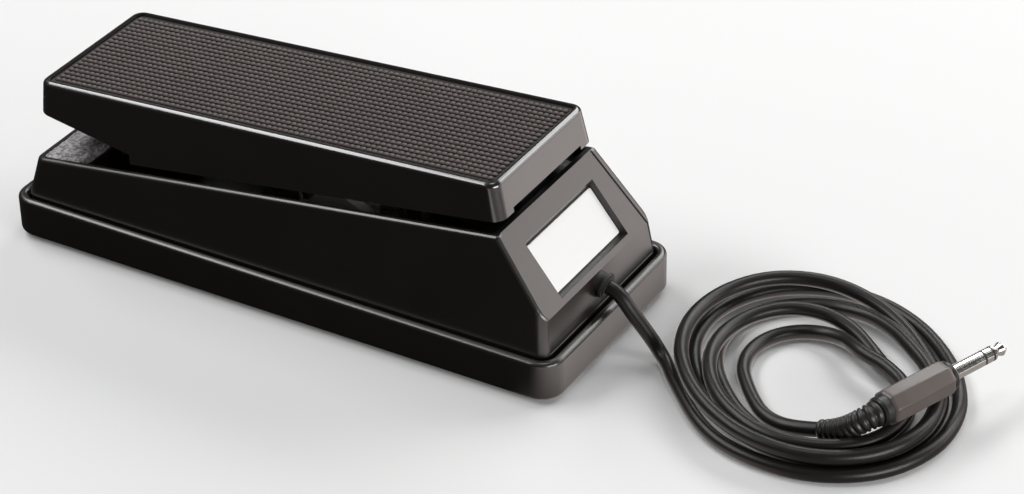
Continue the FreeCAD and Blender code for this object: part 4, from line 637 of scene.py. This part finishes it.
# %% [markdown]
# ## The heel pad
# A strip of grey open-cell foam lies on the heel shelf and stops the treadle softly. The
# node's own solid gives the outline. A fine remesh and a little noise give it a crumbly face
# and a slightly slumped middle.

# %% Build the heel pad
FOAM_GRID = 0.0007
CRUMB = 0.00028
CRUMB_SCALE = 700
FINE_CRUMB_SCALE = 1600
SLUMP = 0.0005
SLUMP_SCALE = 45


def foam_copy(node_name, name):
    piece = bpy.data.objects.new(name, nodes[node_name].data.copy())
    bpy.context.scene.collection.objects.link(piece)
    remesh = piece.modifiers.new("grid", "REMESH")
    remesh.mode = "VOXEL"
    remesh.voxel_size = FOAM_GRID
    remesh.use_smooth_shade = True
    graph = bpy.context.evaluated_depsgraph_get()
    fine = bpy.data.meshes.new_from_object(piece.evaluated_get(graph))
    piece.modifiers.clear()
    piece.data = fine
    return piece


foam = foam_copy("heel_foam_pad", "foam_strip")
low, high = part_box("heel_foam_pad")
for vertex in foam.data.vertices:
    place = vertex.co.copy()
    fine_crumb = noise.noise(place * FINE_CRUMB_SCALE)
    crumb = noise.noise(place * CRUMB_SCALE) + 0.5 * fine_crumb
    sag = 0.5 + noise.noise(place * SLUMP_SCALE)
    lift = max(0.0, (place.z - low.z) / (high.z - low.z))
    vertex.co += vertex.normal * (CRUMB * crumb)
    vertex.co.z -= SLUMP * sag * lift
put(foam, "base", "grey_foam", "heel_foam_pad")
print("foam: %d faces" % len(foam.data.polygons))

# %% [markdown]
# ## The plug's boot
# The boot is soft rubber moulded in rings, so that the cord can bend without kinking. It droops
# from the plug's collar to the coil. A line with the right heading at both ends is followed by
# rings whose radius swells and narrows, eleven times.

# %% Measures of the plug
PLUG_BACK = Vector((261.3, -13.0, 20.4))
PLUG_HEADING = math.radians(69.1)
PLUG_AXIS = Vector((math.cos(PLUG_HEADING), math.sin(PLUG_HEADING), 0))
PLUG_SIDE = Vector((-math.sin(PLUG_HEADING), math.cos(PLUG_HEADING), 0))
COLLAR_LENGTH = 4.0
TAIL_POINT = Vector(TO_THE_PLUG[-1])
TAIL_HEADING = Vector((0.97, 0.13, 0.2)).normalized()
RIB_COUNT = 11
RING_POINTS = 32
STEPS_PER_RIB = 10
BOOT_TAIL_RADIUS = 4.1
BOOT_FRONT_RADIUS = 5.4
GROOVE_DEPTH = 1.1
GROOVE_SHARPNESS = 2.2
TAIL_GROOVE = 0.6
BOOT_PULL = 0.42


# %% Build the boot
def boot_line(share):
    # Cubic from the tail to the collar, with its heading
    front = PLUG_BACK - PLUG_AXIS * COLLAR_LENGTH
    pull = (front - TAIL_POINT).length * BOOT_PULL
    control = [TAIL_POINT, TAIL_POINT + TAIL_HEADING * pull, front - PLUG_AXIS * pull, front]
    keep = 1 - share
    point = (control[0] * keep ** 3 + control[1] * 3 * keep ** 2 * share
             + control[2] * 3 * keep * share ** 2 + control[3] * share ** 3)
    heading = ((control[1] - control[0]) * keep ** 2 + (control[2] - control[1]) * 2 * keep * share
               + (control[3] - control[2]) * share ** 2)
    return point, heading.normalized()


def ring_round(point, heading, radius):
    across = heading.cross(Vector((0, 0, 1))).normalized()
    rise = across.cross(heading)
    return [point + (across * math.cos(a) + rise * math.sin(a)) * radius
            for a in (2 * math.pi * i / RING_POINTS for i in range(RING_POINTS))]


def boot_radius(share):
    crest = BOOT_TAIL_RADIUS + (BOOT_FRONT_RADIUS - BOOT_TAIL_RADIUS) * share
    wave = 0.5 - 0.5 * math.cos(2 * math.pi * RIB_COUNT * share)
    depth = GROOVE_DEPTH * (TAIL_GROOVE + (1 - TAIL_GROOVE) * share)
    return crest - depth * (1 - wave) ** GROOVE_SHARPNESS


def make_boot():
    steps = RIB_COUNT * STEPS_PER_RIB
    points = []
    for i in range(steps + 1):
        share = i / steps
        point, heading = boot_line(share)
        points += ring_round(point, heading, boot_radius(share))
    return piece_from("ribbed_boot", points, bridge_rings(RING_POINTS, steps + 1))


boot = put(make_boot(), "base", "boot_rubber", "plug_boot")
print("boot: %d rings" % RIB_COUNT)

# %% [markdown]
# ## The plug's grip
# The grip is an eight-sided moulding: flats to hold it by, soft edges between them and a
# shoulder that draws in at both ends. Rings of eight points give the flats, and a bevel
# modifier softens every edge.

# %% Build the grip
GRIP_FLAT = 14.0
GRIP_LENGTH = 33.0
GRIP_SIDES = 8
GRIP_SHAPE = [(0.0, 0.86), (1.1, 0.985), (2.4, 1.0), (GRIP_LENGTH - 2.8, 1.0),
              (GRIP_LENGTH - 1.1, 0.96), (GRIP_LENGTH, 0.86)]
GRIP_SOFTNESS = 0.45
GRIP_EDGE_ANGLE = math.radians(20)


def make_grip():
    half_side = math.pi / GRIP_SIDES
    corner = GRIP_FLAT / 2 / math.cos(half_side)
    points = []
    for along, share in GRIP_SHAPE:
        for i in range(GRIP_SIDES):
            angle = half_side * (1 + 2 * i)
            points.append(PLUG_BACK + PLUG_AXIS * along
                          + PLUG_SIDE * (corner * share * math.cos(angle))
                          + Vector((0, 0, 1)) * (corner * share * math.sin(angle)))
    grip = piece_from("eight_sided_grip", points, bridge_rings(GRIP_SIDES, len(GRIP_SHAPE)))
    soften = grip.modifiers.new("soft_edges", "BEVEL")
    soften.width = GRIP_SOFTNESS * MM
    soften.segments = 3
    soften.limit_method = "ANGLE"
    soften.angle_limit = GRIP_EDGE_ANGLE
    soften.harden_normals = True
    return grip


grip = put(make_grip(), "base", "plug_plastic", "plug_handle")
print("grip: %d sides, %.1f mm long" % (GRIP_SIDES, GRIP_LENGTH))

# %% [markdown]
# ## Putting the cord in place
# The boot, the grip and the plug have no place of their own: they lie where the cord puts
# them. The cord rides on the base and stands in for the frame's cord and coil nodes, which
# are hidden.

put(cord, "base", "cord_jacket", "cord", "cord_coil")

# %% [markdown]
# ## Round things look round
# The frame arrives as triangles. Smoothing only across shallow angles keeps the flats flat and
# the fillets round. Normals weighted by face size then stop the flats from picking up a shade
# of the fillets beside them. No vertex moves.

# %% Smooth the carried-over nodes by angle
SMOOTH_ANGLE = math.radians(32)
LARGE_FACES_FIRST = 100
for node in nodes.values():
    node.data.polygons.foreach_set("use_smooth", [True] * len(node.data.polygons))
    node.data.set_sharp_from_angle(angle=SMOOTH_ANGLE)
    weighted = node.modifiers.new("even_normals", "WEIGHTED_NORMAL")
    weighted.keep_sharp = True
    weighted.weight = LARGE_FACES_FIRST
print("smoothed:", len(nodes), "nodes")

# %% [markdown]
# ## The floor
# The object stands on a white sweep. The floor is a plain pale plane: what the camera
# sees of it is pale with soft shadows near the pedal and fades to white away from it. Shiny
# pieces see a painted reflection in it instead: a glow on the toe side only, weaker among
# the turns of the cord so that the cord stays dark, and a dark floor everywhere else.

# %% Floor
FLOOR_SIZE = 8.0
floor_mesh = bpy.data.meshes.new("floor")
half = FLOOR_SIZE / 2
floor_mesh.from_pydata([(-half, -half, 0), (half, -half, 0), (half, half, 0), (-half, half, 0)],
                       [], [(0, 1, 2, 3)])
floor = bpy.data.objects.new("floor", floor_mesh)
bpy.context.scene.collection.objects.link(floor)
print("floor: %.0f m across" % FLOOR_SIZE)

# %% [markdown]
# ## The floor's material
# One plane can look unlike to unlike rays. The Light Path node tells a ray that comes from the
# camera from one that comes from a shiny surface, and two Mix Shader nodes choose by it. The
# plain diffuse part is what catches the shadows, so the camera's floor keeps it.

# %% The floor's material
SEEN_COLOUR = (0.81, 0.81, 0.81, 1)
SEEN_GLOW = 0.04
# Shiny pieces see painted reflections in the floor: a dark one, and a glow on the toe side
PAINTED_DARK_REFLECTION_COLOUR = (0.03, 0.03, 0.03, 1)
PAINTED_REFLECTION_COLOUR = (1.0, 0.92, 0.885, 1)
PAINTED_REFLECTION_STRENGTH = 1.4
# Distances from the origin, or along X or Y, between which the floor changes
SWEEP_FADES = (0.24, 0.66)
PAINTED_REFLECTION_BEGINS = (0.11, 0.17)
COIL_BEGINS = (0.25, 0.20)
COIL_ENDS = (0.09, 0.13)
LEAST_AMONG_TURNS = 0.23


def plain_shader(tree, kind, colour, strength=None):
    node = tree.nodes.new(kind)
    node.inputs["Color"].default_value = colour
    if strength is not None:
        node.inputs["Strength"].default_value = strength
    return node.outputs[0]


def mix_shaders(tree, share, first, second):
    node = tree.nodes.new("ShaderNodeMixShader")
    tree.links.new(share, node.inputs["Fac"])
    tree.links.new(first, node.inputs[1])
    tree.links.new(second, node.inputs[2])
    return node.outputs[0]


def floor_for_camera(tree, spot):
    both = tree.nodes.new("ShaderNodeAddShader")
    tree.links.new(plain_shader(tree, "ShaderNodeBsdfDiffuse", SEEN_COLOUR), both.inputs[0])
    tree.links.new(plain_shader(tree, "ShaderNodeEmission", (1, 1, 1, 1), SEEN_GLOW),
                   both.inputs[1])
    distance = tree.nodes.new("ShaderNodeVectorMath")
    distance.operation = "LENGTH"
    tree.links.new(spot, distance.inputs[0])
    white = plain_shader(tree, "ShaderNodeEmission", (1, 1, 1, 1), 1.0)
    share = smooth_range(tree, distance.outputs["Value"], *SWEEP_FADES)
    return mix_shaders(tree, share, both.outputs[0], white)


# Painted reflection for shiny pieces: a glow on the toe side, weaker among the turns of the cord, over a dark
# floor
def painted_floor_reflection(tree, spot, shiny):
    place = tree.nodes.new("ShaderNodeSeparateXYZ")
    tree.links.new(spot, place.inputs[0])
    outside = math_node(tree, "MAXIMUM", smooth_range(tree, place.outputs["X"], *COIL_BEGINS),
                        smooth_range(tree, place.outputs["Y"], *COIL_ENDS))
    scaled = math_node(tree, "MULTIPLY", outside, 1 - LEAST_AMONG_TURNS)
    level = math_node(tree, "ADD", scaled, LEAST_AMONG_TURNS)
    painted_reflection_share = math_node(tree, "MULTIPLY", level,
                           smooth_range(tree, place.outputs["X"], *PAINTED_REFLECTION_BEGINS))
    painted_dark_reflection = plain_shader(tree, "ShaderNodeBsdfDiffuse", PAINTED_DARK_REFLECTION_COLOUR)
    painted_glow = plain_shader(tree, "ShaderNodeEmission", PAINTED_REFLECTION_COLOUR, PAINTED_REFLECTION_STRENGTH)
    return mix_shaders(tree, math_node(tree, "MULTIPLY", shiny, painted_reflection_share), painted_dark_reflection, painted_glow)


def make_floor_material():
    material = bpy.data.materials.new("white_sweep")
    material.use_nodes = True
    tree = material.node_tree
    tree.nodes.remove(tree.nodes["Principled BSDF"])
    path = tree.nodes.new("ShaderNodeLightPath")
    spot = tree.nodes.new("ShaderNodeTexCoord").outputs["Object"]
    shiny = math_node(tree, "MAXIMUM", path.outputs["Is Glossy Ray"],
                      path.outputs["Is Transmission Ray"])
    surface = mix_shaders(tree, path.outputs["Is Camera Ray"],
                          painted_floor_reflection(tree, spot, shiny), floor_for_camera(tree, spot))
    tree.links.new(surface, tree.nodes["Material Output"].inputs["Surface"])
    return material


floor.data.materials.append(make_floor_material())
print("floor material:", floor.data.materials[0].name)


# %% [markdown]
# ## The lamps
# A glossy dark body shows the lamps more than their light. A long softbox over the heel runs
# along the treadle's near rim, one overhead catches its toe corner, one behind lines the toe
# edges, and a large dim one lies in the toe panel as an even sheen. A low one lights the
# label. The radiance is the brightness of the lamp's own face, where 1 is white.

# %% Lamps
def softbox(name, place, aim, width, height, radiance, colour=(1, 1, 1)):
    light = bpy.data.lights.new(name, "AREA")
    light.shape = "RECTANGLE"
    light.size = width
    light.size_y = height
    light.energy = radiance * math.pi * width * height
    light.color = colour
    lamp = bpy.data.objects.new(name, light)
    lamp.location = place
    heading = Vector(aim) - Vector(place)
    lamp.rotation_euler = heading.to_track_quat("-Z", "Y").to_euler()
    bpy.context.scene.collection.objects.link(lamp)
    return lamp


softbox("key", (-0.78, -0.14, 1.11), (-0.05, -0.02, 0.06), 1.60, 0.40, 6.6)
softbox("corner_top", (0.10, 0.12, 1.25), (0.05, 0, 0.06), 0.40, 0.36, 4.2)
softbox("back", (0.28, 1.10, 0.88), (0.05, 0, 0.06), 1.44, 0.46, 5.2)
softbox("toe_card", (1.05, 0.98, 0.36), (0.1, 0, 0.04), 1.0, 0.42, 2.6, (1, 0.92, 0.89))
softbox("label_fill", (1.25, -0.35, 0.28), (0.11, 0, 0.045), 0.9, 0.4, 9.0)
print("lamps:", sorted(light.name for light in bpy.data.lights))


# %% [markdown]
# ## The background
# The camera sees white behind the floor. Everything else gets only a faint even light from
# there, so that the lamps shape the body.

# %% Background
AMBIENT = 0.06


def make_world():
    world = bpy.data.worlds.new("studio")
    world.use_nodes = True
    tree = world.node_tree
    path = tree.nodes.new("ShaderNodeLightPath")
    background = tree.nodes["Background"]
    background.inputs["Color"].default_value = (1, 1, 1, 1)
    strength = math_node(tree, "MULTIPLY", path.outputs["Is Camera Ray"], 1 - AMBIENT)
    tree.links.new(math_node(tree, "ADD", strength, AMBIENT), background.inputs["Strength"])
    bpy.context.scene.world = world


make_world()
bpy.context.scene.view_settings.view_transform = "Standard"
